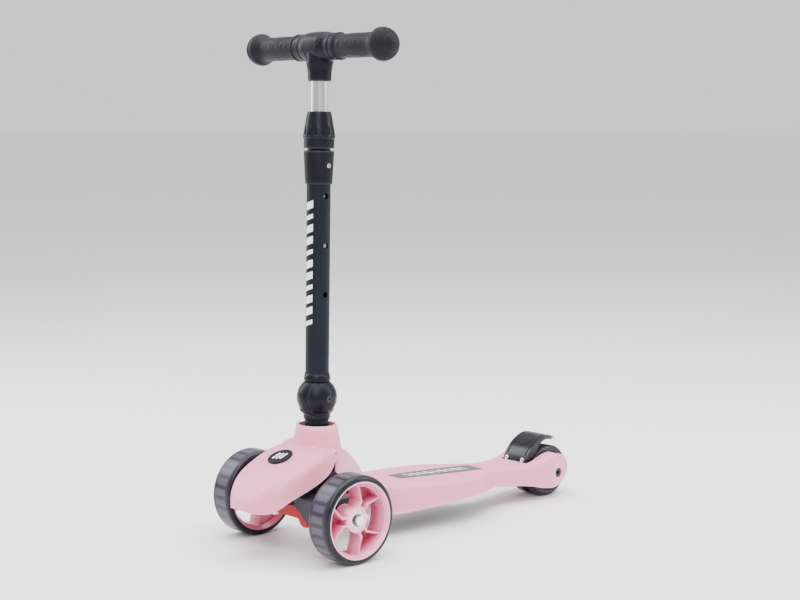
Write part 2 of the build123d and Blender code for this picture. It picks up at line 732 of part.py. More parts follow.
SPOKE_OUTLINE = ((14, 6.5), (24, 6.5), (41.6, 24), (47.6, 10))
POCKET_OUTLINE = ((18.5, 4), (25, 4), (40.6, 19.5), (44.6, 8))
SPOKE_BACK = -10.0
POCKET_FLOOR = -6.5
SPOKE_FACE = 12.5


def radial_outline(points):
    """Outline symmetric about its first axis, given from the hub outwards on one side."""
    with BuildSketch() as outline:
        with BuildLine():
            Polyline(*points, *[(x, -y) for x, y in reversed(points)], close=True)
        make_face()
    return outline.sketch


RIM_SECTION = ((-19.5, RIM_FLANGE_R), (-17, RIM_FLANGE_R), (-15.2, RIM_SEAT_R), (15.2, RIM_SEAT_R),
               (17, RIM_FLANGE_R), (19.5, RIM_FLANGE_R), (19.5, 50.9), (14, RIM_BARREL_R), (-14, RIM_BARREL_R), (-19.5, 50.9))
TYRE_ROUND = 6.0

for side, name in ((1, "left"), (-1, "right")):
    wheel_x = side * FRONT_TRACK_HALF
    with BuildPart() as rim_lugs:
        with BuildSketch(side_plane(wheel_x - LUG_WIDTH / 2, 0, FRONT_WHEEL_R)):
            with PolarLocations((RIM_SEAT_R - 0.6 + LUG_TOP_R) / 2, LUG_COUNT):
                Rectangle(LUG_TOP_R - RIM_SEAT_R + 0.6, 9)
        extrude(amount=LUG_WIDTH)

    with BuildPart() as front_rim:
        with BuildSketch(axle_section(wheel_x, 0, FRONT_WHEEL_R)):
            with BuildLine():
                Polyline(*[(side * x, y) for x, y in RIM_SECTION], close=True)
            make_face()
        revolve(axis=front_axis)
        with BuildSketch(side_plane(wheel_x + side * SPOKE_BACK, 0, FRONT_WHEEL_R)):
            with PolarLocations(0, 3, start_angle=60):
                add(radial_outline(SPOKE_OUTLINE))
        extrude(amount=side * (SPOKE_FACE - SPOKE_BACK))
        with BuildSketch(side_plane(wheel_x + side * FRONT_HUB_BACK, 0, FRONT_WHEEL_R)):
            Circle(FRONT_HUB_R)
        extrude(amount=side * (FRONT_HUB_FACE - FRONT_HUB_BACK))
        with BuildSketch(side_plane(wheel_x + side * POCKET_FLOOR, 0, FRONT_WHEEL_R)):
            with PolarLocations(0, 3, start_angle=60):
                add(radial_outline(POCKET_OUTLINE))
        extrude(amount=side * 30, mode=Mode.SUBTRACT)
        with BuildSketch(side_plane(wheel_x - 20, 0, FRONT_WHEEL_R)):
            Circle(BEARING_R)
        extrude(amount=40, mode=Mode.SUBTRACT)
        add(rim_lugs.part)
    save(front_rim, f"front_rim_{name}")

    with BuildPart() as front_tyre:
        with BuildSketch(axle_section(wheel_x, 0, FRONT_WHEEL_R)):
            with BuildLine():
                Polyline((-FRONT_WHEEL_HALF, FRONT_WHEEL_R - TYRE_ROUND), (-FRONT_WHEEL_HALF, RIM_FLANGE_R),
                         (-17, RIM_FLANGE_R), (-15.2, RIM_SEAT_R), (15.2, RIM_SEAT_R), (17, RIM_FLANGE_R),
                         (FRONT_WHEEL_HALF, RIM_FLANGE_R), (FRONT_WHEEL_HALF, FRONT_WHEEL_R - TYRE_ROUND))
                RadiusArc((FRONT_WHEEL_HALF, FRONT_WHEEL_R - TYRE_ROUND),
                          (FRONT_WHEEL_HALF - TYRE_ROUND, FRONT_WHEEL_R), -TYRE_ROUND)
                Line((FRONT_WHEEL_HALF - TYRE_ROUND, FRONT_WHEEL_R), (-FRONT_WHEEL_HALF + TYRE_ROUND, FRONT_WHEEL_R))
                RadiusArc((-FRONT_WHEEL_HALF + TYRE_ROUND, FRONT_WHEEL_R),
                          (-FRONT_WHEEL_HALF, FRONT_WHEEL_R - TYRE_ROUND), -TYRE_ROUND)
            make_face()
        revolve(axis=front_axis)
        add(rim_lugs.part, mode=Mode.SUBTRACT)
    save(front_tyre, f"front_tyre_{name}")

    with BuildPart() as front_bearings:
        for start in (INNER_BEARING_X, OUTER_BEARING_X):
            with BuildSketch(side_plane(side * start, 0, FRONT_WHEEL_R)):
                Circle(BEARING_R)
                Circle(AXLE_R + RUNNING_CLEARANCE, mode=Mode.SUBTRACT)
            extrude(amount=side * BEARING_WIDTH)
            with BuildSketch(side_plane(side * start, 0, FRONT_WHEEL_R)):
                Circle(9.2)
                Circle(6, mode=Mode.SUBTRACT)
            extrude(amount=side * 0.5, mode=Mode.SUBTRACT)
            with BuildSketch(side_plane(side * (start + BEARING_WIDTH), 0, FRONT_WHEEL_R)):
                Circle(9.2)
                Circle(6, mode=Mode.SUBTRACT)
            extrude(amount=-side * 0.5, mode=Mode.SUBTRACT)
    save(front_bearings, f"front_bearings_{name}")

    with BuildPart() as front_bearing_spacer:
        with BuildSketch(side_plane(side * (INNER_BEARING_X + BEARING_WIDTH), 0, FRONT_WHEEL_R)):
            Circle(6)
            Circle(AXLE_R + RUNNING_CLEARANCE, mode=Mode.SUBTRACT)
        extrude(amount=side * (OUTER_BEARING_X - INNER_BEARING_X - BEARING_WIDTH))
    save(front_bearing_spacer, f"bearing_spacer_{name}")

# ---------------------------------------------------------------- rear wheels and axle
for side, name in ((1, "left"), (-1, "right")):
    wheel_x = side * REAR_WHEEL_X
    with BuildPart() as rear_hub:
        with BuildSketch(side_plane(wheel_x - 9, WHEEL_BASE, REAR_WHEEL_R)):
            Circle(REAR_RIM_R)
            Circle(BEARING_R, mode=Mode.SUBTRACT)
        extrude(amount=18)
        for face in (-1, 1):
            with BuildSketch(side_plane(wheel_x + face * 9, WHEEL_BASE, REAR_WHEEL_R)):
                Circle(26)
                Circle(15, mode=Mode.SUBTRACT)
            extrude(amount=-face * 6, mode=Mode.SUBTRACT)
            with BuildSketch(side_plane(wheel_x + face * 9, WHEEL_BASE, REAR_WHEEL_R)):
                with PolarLocations(20.5, 5):
                    Rectangle(13, 2.5)
            extrude(amount=-face * 6.5)
    save(rear_hub, f"rear_hub_{name}")

    with BuildPart() as rear_tyre:
        with BuildSketch(axle_section(wheel_x, WHEEL_BASE, REAR_WHEEL_R)):
            with BuildLine():
                Polyline((-REAR_WHEEL_HALF, 35), (-REAR_WHEEL_HALF, 31.5), (-9, REAR_RIM_R), (9, REAR_RIM_R),
                         (REAR_WHEEL_HALF, 31.5), (REAR_WHEEL_HALF, 35))
                RadiusArc((REAR_WHEEL_HALF, 35), (REAR_WHEEL_HALF - 5, REAR_WHEEL_R), -5)
                Line((REAR_WHEEL_HALF - 5, REAR_WHEEL_R), (-REAR_WHEEL_HALF + 5, REAR_WHEEL_R))
                RadiusArc((-REAR_WHEEL_HALF + 5, REAR_WHEEL_R), (-REAR_WHEEL_HALF, 35), -5)
            make_face()
        revolve(axis=rear_axis)
    save(rear_tyre, f"rear_tyre_{name}")

    with BuildPart() as rear_bearings:
        for face in (-1, 1):
            with BuildSketch(side_plane(wheel_x + face * 9, WHEEL_BASE, REAR_WHEEL_R)):
                Circle(BEARING_R)
                Circle(AXLE_R + RUNNING_CLEARANCE, mode=Mode.SUBTRACT)
            extrude(amount=-face * BEARING_WIDTH)
    save(rear_bearings, f"rear_bearings_{name}")

with BuildPart() as rear_axle_bolt:
    with BuildSketch(side_plane(-FORK_RECESS_FLOOR_X, WHEEL_BASE, REAR_WHEEL_R)):
        Circle(AXLE_R)
    extrude(amount=2 * FORK_RECESS_FLOOR_X)
    with BuildSketch(side_plane(FORK_RECESS_FLOOR_X, WHEEL_BASE, REAR_WHEEL_R)):
        Circle(6.5)
    extrude(amount=4.5)
    with BuildSketch(side_plane(FORK_RECESS_FLOOR_X + 1.5, WHEEL_BASE, REAR_WHEEL_R)):
        RegularPolygon(2.9, 6)
    extrude(amount=5, mode=Mode.SUBTRACT)
    with BuildSketch(side_plane(-FORK_RECESS_FLOOR_X, WHEEL_BASE, REAR_WHEEL_R)):
        Circle(AXLE_R)
    extrude(amount=-6)
save(rear_axle_bolt, "rear_axle_bolt")

with BuildPart() as rear_axle_nut:
    with BuildSketch(side_plane(-FORK_RECESS_FLOOR_X, WHEEL_BASE, REAR_WHEEL_R)):
        RegularPolygon(7, 6)
        Circle(AXLE_R, mode=Mode.SUBTRACT)
    extrude(amount=-5.5)
save(rear_axle_nut, "rear_axle_nut")

with BuildPart() as rear_axle_spacers:
    for start, length in ((-FORK_INNER_X, 4.6), (-4.3, 8.6), (FORK_INNER_X - 4.6, 4.6)):
        with BuildSketch(side_plane(start, WHEEL_BASE, REAR_WHEEL_R)):
            Circle(6.5)
            Circle(AXLE_R, mode=Mode.SUBTRACT)
        extrude(amount=length)
save(rear_axle_spacers, "rear_axle_spacers")

# ---------------------------------------------------------------- foot brake
FENDER_TOP = ((425.6, 57.6), (431, 70.2), (441, 82), (456, 92), (474, 96.8), (489, 94.0), (500, 88.6), (509, 82.4))
FENDER_LOW = ((509.5, 79.0), (499, 83.6), (488, 87.6), (474, 90.2), (463, 87.5), (456, 80.5), (452.5, 73.4),
              (445, 67.4), (437, 59.0), (431, 57.0))
FENDER_SKIN_R = 52.0
HINGE_PLATE = 2.0
PAD_R = 44.9
SCREW_ANGLE = 156.7         # round the rear axle from straight back
FENDER_SCREW_X = 16.2


def ring_sector(inner, outer, start, end):
    """Part of a flat ring between two angles, counted from straight back towards the top."""
    with BuildSketch() as outline:
        Circle(outer)
        Circle(inner, mode=Mode.SUBTRACT)
        with BuildLine():
            Polyline((0, 0), *[(80 * cos(radians(t)), 80 * sin(radians(t))) for t in (start, (start + end) / 2, end)],
                     close=True)
        make_face(mode=Mode.INTERSECT)
    return outline.sketch


def fender_screw_plane(side, radius):
    """Plane facing out from the rear axle through a fender screw, at a radius from that axle."""
    outward = Vector(0, cos(radians(SCREW_ANGLE)), sin(radians(SCREW_ANGLE)))
    centre = Vector(side * FENDER_SCREW_X, FRONT_AXLE_Y + WHEEL_BASE, REAR_WHEEL_R)
    return Plane(origin=centre + outward * radius, x_dir=(1, 0, 0), z_dir=outward)


with BuildPart() as brake_fender:
    with BuildSketch(side_plane(0)):
        with BuildLine():
            Spline(*FENDER_TOP)
            Line(FENDER_TOP[-1], FENDER_LOW[0])
            Spline(*FENDER_LOW[:5])
            Polyline(*FENDER_LOW[4:], FENDER_TOP[0])
        make_face()
    extrude(amount=FENDER_HALF, both=True)
    with BuildSketch(side_plane(0, WHEEL_BASE, REAR_WHEEL_R)):
        Circle(FENDER_SKIN_R)
    extrude(amount=FENDER_HALF - 3.5, both=True, mode=Mode.SUBTRACT)
    # tail narrows towards its tip
    with BuildSketch(plan_plane(0)):
        for side in (-1, 1):
            with BuildLine():
                Polyline((side * FENDER_HALF, 470), (side * 40, 470), (side * 40, 530), (side * 15, 530),
                         (side * 17, 502), (side * 21.5, 484), close=True)
            make_face()
    extrude(amount=120, mode=Mode.SUBTRACT)
    for side in (-1, 1):
        with BuildSketch(fender_screw_plane(side, FENDER_SKIN_R - 6)):
            Circle(SCREW_R)
        extrude(amount=20, mode=Mode.SUBTRACT)
        # flat seat for the screw's head
        with BuildSketch(fender_screw_plane(side, FENDER_R + 0.3)):
            Circle(3.6)
        extrude(amount=12, mode=Mode.SUBTRACT)
save(brake_fender, "brake_fender")

with BuildPart() as brake_hinge_plate:
    with BuildSketch(side_plane(0, WHEEL_BASE, REAR_WHEEL_R)):
        add(ring_sector(FENDER_SKIN_R - HINGE_PLATE, FENDER_SKIN_R, 146, 161))
    extrude(amount=19, both=True)
    for side in (-1, 1):
        with BuildSketch(side_plane(side * 7, WHEEL_BASE, REAR_WHEEL_R)):
            add(ring_sector(FENDER_SKIN_R - HINGE_PLATE, FENDER_SKIN_R, 158, 168))
        extrude(amount=side * 12)
        with BuildSketch(side_plane(side * 7, BRAKE_PIN_Y, BRAKE_PIN_Z)):
            Circle(4.5)
        extrude(amount=side * 12)
    with BuildSketch(side_plane(0, BRAKE_PIN_Y, BRAKE_PIN_Z)):
        Circle(BRAKE_PIN_R + RUNNING_CLEARANCE)
    extrude(amount=30, both=True, mode=Mode.SUBTRACT)
    for side in (-1, 1):
        with BuildSketch(fender_screw_plane(side, FENDER_SKIN_R - 6)):
            Circle(SCREW_R)
        extrude(amount=20, mode=Mode.SUBTRACT)
save(brake_hinge_plate, "brake_hinge_plate")

with BuildPart() as brake_screws:
    for side in (-1, 1):
        with BuildSketch(fender_screw_plane(side, FENDER_SKIN_R - HINGE_PLATE)):
            Circle(SCREW_R)
        extrude(amount=FENDER_R - FENDER_SKIN_R + HINGE_PLATE + 0.5)
        with BuildSketch(fender_screw_plane(side, FENDER_R + 0.3)):
            Circle(3.4)
        extrude(amount=1.6)
        with BuildSketch(fender_screw_plane(side, FENDER_R + 1.2)):
            Rectangle(4.2, 0.9)
            Rectangle(0.9, 4.2)
        extrude(amount=2, mode=Mode.SUBTRACT)
save(brake_screws, "brake_screws")

with BuildPart() as brake_pad:
    with BuildSketch(side_plane(0, WHEEL_BASE, REAR_WHEEL_R)):
        add(ring_sector(PAD_R, FENDER_SKIN_R, 96, 128))
    extrude(amount=17, both=True)
save(brake_pad, "brake_pad")

with BuildPart() as brake_hinge_pin:
    with BuildSketch(side_plane(-FORK_INNER_X - 6, BRAKE_PIN_Y, BRAKE_PIN_Z)):
        Circle(BRAKE_PIN_R)
    extrude(amount=2 * FORK_INNER_X + 12)
save(brake_hinge_pin, "brake_hinge_pin")

with BuildPart() as brake_return_spring:
    with BuildLine() as coil:
        Helix(pitch=1.8, height=10.8, radius=3.5, direction=(1, 0, 0),
              center=(-5.4, FRONT_AXLE_Y + BRAKE_PIN_Y, BRAKE_PIN_Z))
    with BuildSketch(Plane(origin=coil.line @ 0, z_dir=coil.line % 0)):
        Circle(0.6)
    sweep(is_frenet=True)
save(brake_return_spring, "brake_return_spring")

# ---------------------------------------------------------------- folding joint of the stem
CLEVIS_PLUG_LOW = 150.0
CLEVIS_LIP = 176.0


def stem_ring(inner, outer, low, high):
    """Half section of a plain ring about the stem axis."""
    with BuildSketch() as outline:
        with BuildLine():
            Polyline((inner, low), (outer, low), (outer, high), (inner, high), close=True)
        make_face()
    return outline.sketch


def stem_outline(points):
    """Half section of a turned piece about the stem axis."""
    with BuildSketch() as outline:
        with BuildLine():
            Polyline(*points, close=True)
        make_face()
    return outline.sketch


with BuildPart() as fold_clevis:
    with BuildSketch(stem_section):
        add(stem_outline(((0, CLEVIS_PLUG_LOW), (TUBE_BORE_R, CLEVIS_PLUG_LOW), (TUBE_BORE_R, CLEVIS_LIP),
                          (17.6, CLEVIS_LIP), (18.6, 178), (18.9, 187), (0, 187))))
    revolve(axis=stem_axis)
    with Locations(stem_plane(FOLD_BALL_H)):
        Sphere(FOLD_BALL_R)
    with BuildSketch(stem_side_plane(-FOLD_CHEEK_X, FOLD_BALL_H)):
        Circle(FOLD_BALL_R + BODY_GAP)
    extrude(amount=2 * FOLD_CHEEK_X, mode=Mode.SUBTRACT)
    with BuildSketch(stem_side_plane(-40, FOLD_BALL_H)):
        Circle(AXLE_R)
    extrude(amount=80, mode=Mode.SUBTRACT)
save(fold_clevis, "fold_clevis")

with BuildPart() as fold_pin:
    with BuildSketch(stem_side_plane(-27, FOLD_BALL_H)):
        Circle(AXLE_R)
    extrude(amount=54)
    for side in (-1, 1):
        with BuildSketch(stem_side_plane(side * 27, FOLD_BALL_H)):
            RegularPolygon(2, 6)
        extrude(amount=-side * 2.5, mode=Mode.SUBTRACT)
save(fold_pin, "fold_pin")

TONGUE_HALF = FOLD_CHEEK_X - BODY_GAP
TUBE_LOW = 240.0
with BuildPart() as fold_tongue:
    with BuildSketch(stem_section):
        add(stem_outline(((0, 228), (17.6, 228), (18.6, 231), (17.4, TUBE_LOW), (TUBE_BORE_R, TUBE_LOW),
                          (TUBE_BORE_R, 264), (0, 264))))
    revolve(axis=stem_axis)
    with Locations(stem_plane(FOLD_BALL_H)):
        Sphere(FOLD_BALL_R + BODY_GAP, mode=Mode.SUBTRACT)
    with BuildSketch(stem_plane(FOLD_BALL_H)):
        Rectangle(2 * TONGUE_HALF, 24)
    extrude(amount=28)
    with BuildSketch(stem_side_plane(-TONGUE_HALF, FOLD_BALL_H)):
        Circle(FOLD_BALL_R)
    extrude(amount=2 * TONGUE_HALF)
    with BuildSketch(stem_side_plane(-40, FOLD_BALL_H)):
        Circle(AXLE_R + RUNNING_CLEARANCE)
    extrude(amount=80, mode=Mode.SUBTRACT)
save(fold_tongue, "fold_tongue")

# ---------------------------------------------------------------- outer tube and height clamp
TUBE_TOP = 545.0
with BuildPart() as outer_tube:
    with BuildSketch(stem_section):
        add(stem_ring(TUBE_BORE_R, OUTER_TUBE_R, TUBE_LOW, TUBE_TOP))
    revolve(axis=stem_axis)
    for height in HOLE_HEIGHTS:
        with BuildSketch(stem_side_plane(0, height)):
            Circle(HEIGHT_HOLE_R)
        extrude(amount=30, mode=Mode.SUBTRACT)
    with BuildSketch(stem_side_plane(12, 524)):
        Circle(2)
    extrude(amount=30, mode=Mode.SUBTRACT)
save(outer_tube, "outer_tube")

with BuildPart() as clamp_collar:
    with BuildSketch(stem_section):
        add(stem_outline(((OUTER_TUBE_R, 498.9), (18.2, 498.9), (18.6, 500), (20.6, 536), (20.9, 543),
                          (20.4, 543.8), (OUTER_TUBE_R, 543.8))))
    revolve(axis=stem_axis)
    with BuildSketch(stem_side_plane(12, 524)):
        Circle(2)
    extrude(amount=30, mode=Mode.SUBTRACT)
    with BuildSketch(stem_side_plane(19.9, 524)):
        Circle(3)
    extrude(amount=10, mode=Mode.SUBTRACT)
save(clamp_collar, "clamp_collar")

with BuildPart() as collar_screw:
    with BuildSketch(stem_side_plane(15.5, 524)):
        Circle(2)
    extrude(amount=5)
    with BuildSketch(stem_side_plane(19.9, 524)):
        Circle(2.9)
    extrude(amount=1.4)
    with BuildSketch(stem_side_plane(20.5, 524)):
        Rectangle(0.8, 3.6)
        Rectangle(3.6, 0.8)
    extrude(amount=2, mode=Mode.SUBTRACT)
save(collar_screw, "collar_screw")

COLLET_TOP = 588.0
with BuildPart() as clamp_collet:
    with BuildSketch(stem_section):
        add(stem_outline(((INNER_TUBE_R + RUNNING_CLEARANCE, 505), (TUBE_BORE_R, 505), (TUBE_BORE_R, TUBE_TOP),
                          (15.6, TUBE_TOP), (15.6, 570), (13.8, COLLET_TOP), (INNER_TUBE_R + RUNNING_CLEARANCE, COLLET_TOP))))
    revolve(axis=stem_axis)
    for turn in (0, 90):
        with BuildSketch(stem_plane(556)):
            Rectangle(60, 1.6, rotation=turn)
        extrude(amount=50, mode=Mode.SUBTRACT)
    with BuildSketch(stem_side_plane(12, 524)):
        Circle(2)
    extrude(amount=3.6, mode=Mode.SUBTRACT)
save(clamp_collet, "clamp_collet")

KNOB_LOW = 547.2
KNOB_TOP = 596.8
FLUTES = 14
with BuildPart() as clamp_knob:
    with BuildSketch(stem_section):
        add(stem_outline(((16.2, KNOB_LOW), (20.3, KNOB_LOW), (20.9, 548.5), (20.9, 560), (21.9, 561.4), (21.9, 564),
                          (20.6, 573), (18.3, 586), (16.6, 594), (15.6, KNOB_TOP), (12.8, KNOB_TOP), (12.8, 592),
                          (14.6, 589), (16.2, 573))))
    revolve(axis=stem_axis)
    with BuildSketch(stem_plane(KNOB_LOW + 19)):
        with PolarLocations(22.4, FLUTES):
            Circle(2.2)
    extrude(amount=40, taper=-2, mode=Mode.SUBTRACT)
save(clamp_knob, "clamp_knob")

# ---------------------------------------------------------------- T-bar
INNER_TUBE_LOW = 386.0
INNER_TUBE_TOP = 671.0
NECK_LOW = 637.2
with BuildPart() as inner_tube:
    with BuildSketch(stem_section):
        add(stem_ring(INNER_TUBE_BORE_R, INNER_TUBE_R, INNER_TUBE_LOW, INNER_TUBE_TOP))
    revolve(axis=stem_axis)
    with BuildSketch(stem_side_plane(0, BUTTON_HEIGHT)):
        Circle(BUTTON_R + RUNNING_CLEARANCE)
    extrude(amount=30, mode=Mode.SUBTRACT)
save(inner_tube, "inner_tube")

with BuildPart() as t_joint:
    with BuildSketch(stem_section):
        add(stem_outline(((INNER_TUBE_R, NECK_LOW), (15.3, NECK_LOW), (15.9, 638.6), (16.6, 652), (18.3, 662),
                          (19.2, BAR_H), (0, BAR_H), (0, INNER_TUBE_TOP), (INNER_TUBE_R, INNER_TUBE_TOP))))
    revolve(axis=stem_axis)
    with BuildSketch(bar_section):
        for side in (-1, 1):
            with BuildLine():
                Polyline(*[(side * x, r) for x, r in ((0, BAR_TUBE_R), (0, 20.7), (14, 20.5), (22, 19.2), (25.5, 18),
                                                      (27, 16.6), (28.5, 18.2), (33, 18.2), (34, 16.8), (35, 17.6),
                                                      (39.2, 17.4), (39.6, 16.4), (39.6, BAR_TUBE_R))], close=True)
            make_face()
    revolve(axis=bar_axis)
    with BuildSketch(Plane(origin=bar_centre - Vector(60, 0, 0), x_dir=(0, 1, 0), z_dir=(1, 0, 0))):
        Circle(BAR_TUBE_R)
    extrude(amount=120, mode=Mode.SUBTRACT)
    with BuildSketch(stem_section):
        add(stem_ring(0, INNER_TUBE_R, NECK_LOW - 1, INNER_TUBE_TOP))
    revolve(axis=stem_axis, mode=Mode.SUBTRACT)
save(t_joint, "t_joint")

with BuildPart() as crossbar:
    with BuildSketch(bar_section):
        with Locations((0, (BAR_TUBE_R + BAR_TUBE_BORE_R) / 2)):
            Rectangle(2 * CROSSBAR_HALF, BAR_TUBE_R - BAR_TUBE_BORE_R)
    revolve(axis=bar_axis)
save(crossbar, "crossbar")

# half section of a grip: along the bar, radius
GRIP_CAP_X = CROSSBAR_HALF
GRIP_SECTION = ((GRIP_CAP_X, BAR_TUBE_R), (GRIP_START_X, BAR_TUBE_R), (GRIP_START_X, 18.0), (41, 18.6), (43, 18.6),
                (44, 16.2), (78, 17.0), (112, 16.2), (117.5, 17.8), (120.5, 19.4), (122.8, 21.6), (124.6, GRIP_DOME_R),
                (GRIP_DOME_X, GRIP_DOME_R))
for side, name in ((1, "left"), (-1, "right")):
    dome_end = (side * (GRIP_DOME_X + GRIP_DOME_R), 0)
    with BuildPart() as grip:
        with BuildSketch(bar_section):
            with BuildLine():
                Polyline(*[(side * x, r) for x, r in GRIP_SECTION])
                RadiusArc((side * GRIP_DOME_X, GRIP_DOME_R), dome_end, side * GRIP_DOME_R)
                Polyline(dome_end, (side * GRIP_CAP_X, 0), (side * GRIP_CAP_X, BAR_TUBE_R))
            make_face()
        revolve(axis=bar_axis)
        # small vent in the middle of the dome
        with BuildSketch(Plane(origin=bar_centre + Vector(dome_end[0], 0, 0), x_dir=(0, 1, 0), z_dir=(1, 0, 0))):
            Circle(1.6)
        extrude(amount=-side * 3, mode=Mode.SUBTRACT)
    save(grip, f"grip_{name}")

BUTTON_FACE = 14.3
with BuildPart() as snap_button:
    with BuildSketch(stem_side_plane(7.5, BUTTON_HEIGHT)):
        Circle(BUTTON_R)
    extrude(amount=BUTTON_FACE - 7.5)
    fillet(snap_button.faces().sort_by(Axis.X)[-1].edges(), 1.2)
save(snap_button, "snap_button")

with BuildPart() as button_spring:
    with BuildSketch(Plane(origin=stem_foot + stem_up * BUTTON_HEIGHT, x_dir=(1, 0, 0), z_dir=(0, -1, 0))):
        with BuildLine():
            Polyline((4.2, 8), (4.9, 8), (4.9, -20), (2.4, -27), (-4, -27), (-9.2, -19), (-9.2, -6), (-8.4, -6),
                     (-8.4, -18.8), (-3.6, -26.2), (2, -26.2), (4.2, -19.8), close=True)
        make_face()
    extrude(amount=2.5, both=True)
save(button_spring, "button_spring")
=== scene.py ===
"""Looks of the three-wheeled kick scooter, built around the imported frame.

Metres, +Z up, +X towards the rider's left; the rider faces -Y.
"""
import json
from math import atan2, cos, exp, hypot, pi, radians, sin, sqrt

import bpy
from mathutils import Matrix, Vector
from mathutils.bvhtree import BVHTree


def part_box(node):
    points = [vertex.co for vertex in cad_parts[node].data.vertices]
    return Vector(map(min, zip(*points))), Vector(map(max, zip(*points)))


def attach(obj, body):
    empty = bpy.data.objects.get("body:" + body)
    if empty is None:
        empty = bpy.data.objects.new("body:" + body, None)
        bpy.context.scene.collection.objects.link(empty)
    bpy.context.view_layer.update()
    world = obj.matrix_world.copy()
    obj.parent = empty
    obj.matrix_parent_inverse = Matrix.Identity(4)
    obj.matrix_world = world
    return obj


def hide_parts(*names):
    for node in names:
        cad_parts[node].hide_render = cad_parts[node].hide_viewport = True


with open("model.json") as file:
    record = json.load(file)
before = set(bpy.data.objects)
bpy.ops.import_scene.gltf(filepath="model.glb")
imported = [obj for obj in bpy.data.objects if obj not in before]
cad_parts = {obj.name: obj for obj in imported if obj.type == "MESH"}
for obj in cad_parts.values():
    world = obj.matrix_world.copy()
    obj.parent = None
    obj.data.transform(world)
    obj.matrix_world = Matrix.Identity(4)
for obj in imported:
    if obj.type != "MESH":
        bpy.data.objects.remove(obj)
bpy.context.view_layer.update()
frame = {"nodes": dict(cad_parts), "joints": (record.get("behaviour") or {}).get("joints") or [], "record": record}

MM = 0.001
SIDES = ((1, "left"), (-1, "right"))

# ---------------------------------------------------------------- places taken from the frame
joints = {joint["name"]: joint for joint in frame["joints"]}
track_half = joints["front_left_spin"]["pos_m"][0]
front_axle = Vector(joints["front_left_spin"]["pos_m"])
front_axle.x = 0.0
rear_axle = Vector(joints["rear_left_spin"]["pos_m"])
rear_axle.x = 0.0
fold_centre = Vector(joints["stem_fold"]["pos_m"])
stem_up = Vector(joints["height_slide"]["axis"]).normalized()
stem_back = stem_up.cross(Vector((1, 0, 0)))


def on_stem(height):
    """Point on the stem's axis at a height above the floor."""
    return fold_centre + stem_up * ((height - fold_centre.z) / stem_up.z)


# ---------------------------------------------------------------- materials
NOISE_SPAN = (0.3, 0.7)          # part of a noise's range that is used
WORN_EDGE = (0.52, 0.60)         # pointiness at which wear starts and is full
MOTTLE_SCALE = 28.0
MOTTLE_DETAIL = 4.0
SMEAR_SCALE = 60.0
SMEAR_DETAIL = 5.0
GRAIN_DETAIL = 2.0
LEAST_ROUGH = 0.02
BUMP_STRENGTH = 0.6
BLACK_GLOSS = 0.14               # specular level of the black and red plastics


def add_node(tree, kind, **values):
    """New shader node with its properties and input sockets set by name."""
    node = tree.nodes.new(kind)
    for key, value in values.items():
        if key in node.inputs.keys():
            node.inputs[key].default_value = value
        else:
            setattr(node, key, value)
    return node


def object_noise(tree, scale, detail, stretch):
    """Noise fixed to the piece; returns its factor socket."""
    coordinates = add_node(tree, "ShaderNodeTexCoord")
    mapping = add_node(tree, "ShaderNodeMapping", Scale=stretch)
    noise = add_node(tree, "ShaderNodeTexNoise", Scale=scale, Detail=detail)
    tree.links.new(coordinates.outputs["Object"], mapping.inputs["Vector"])
    tree.links.new(mapping.outputs["Vector"], noise.inputs["Vector"])
    return noise.outputs["Fac"]


def object_place(tree):
    """X, Y and Z sockets of the point being shaded, fixed to the piece."""
    place = add_node(tree, "ShaderNodeSeparateXYZ")
    tree.links.new(add_node(tree, "ShaderNodeTexCoord").outputs["Object"], place.inputs[0])
    return place.outputs


def map_range(tree, source, low, high, to_low, to_high):
    """Socket's value carried from one range to another, clamped at both ends."""
    node = add_node(tree, "ShaderNodeMapRange")
    for key, value in (("From Min", low), ("From Max", high), ("To Min", to_low), ("To Max", to_high)):
        node.inputs[key].default_value = value
    tree.links.new(source, node.inputs["Value"])
    return node.outputs["Result"]


def mix_colour(tree, factor, first, second):
    """Mix of two colours, each a tuple or a socket."""
    node = tree.nodes.new("ShaderNodeMix")
    node.data_type = "RGBA"
    tree.links.new(factor, node.inputs[0])
    for index, colour in ((6, first), (7, second)):
        if isinstance(colour, tuple):
            node.inputs[index].default_value = (*colour, 1)
        else:
            tree.links.new(colour, node.inputs[index])
    return node.outputs[2]


def plain_math(tree, operation, first, second=None):
    """Math node on sockets or numbers; returns its result."""
    node = add_node(tree, "ShaderNodeMath", operation=operation)
    for index, value in enumerate((first, second)):
        if value is None:
            continue
        if isinstance(value, (int, float)):
            node.inputs[index].default_value = value
        else:
            tree.links.new(value, node.inputs[index])
    return node.outputs[0]


def shade(colour, amount):
    """Colour made lighter or darker."""
    return tuple(min(1.0, channel * amount) for channel in colour)


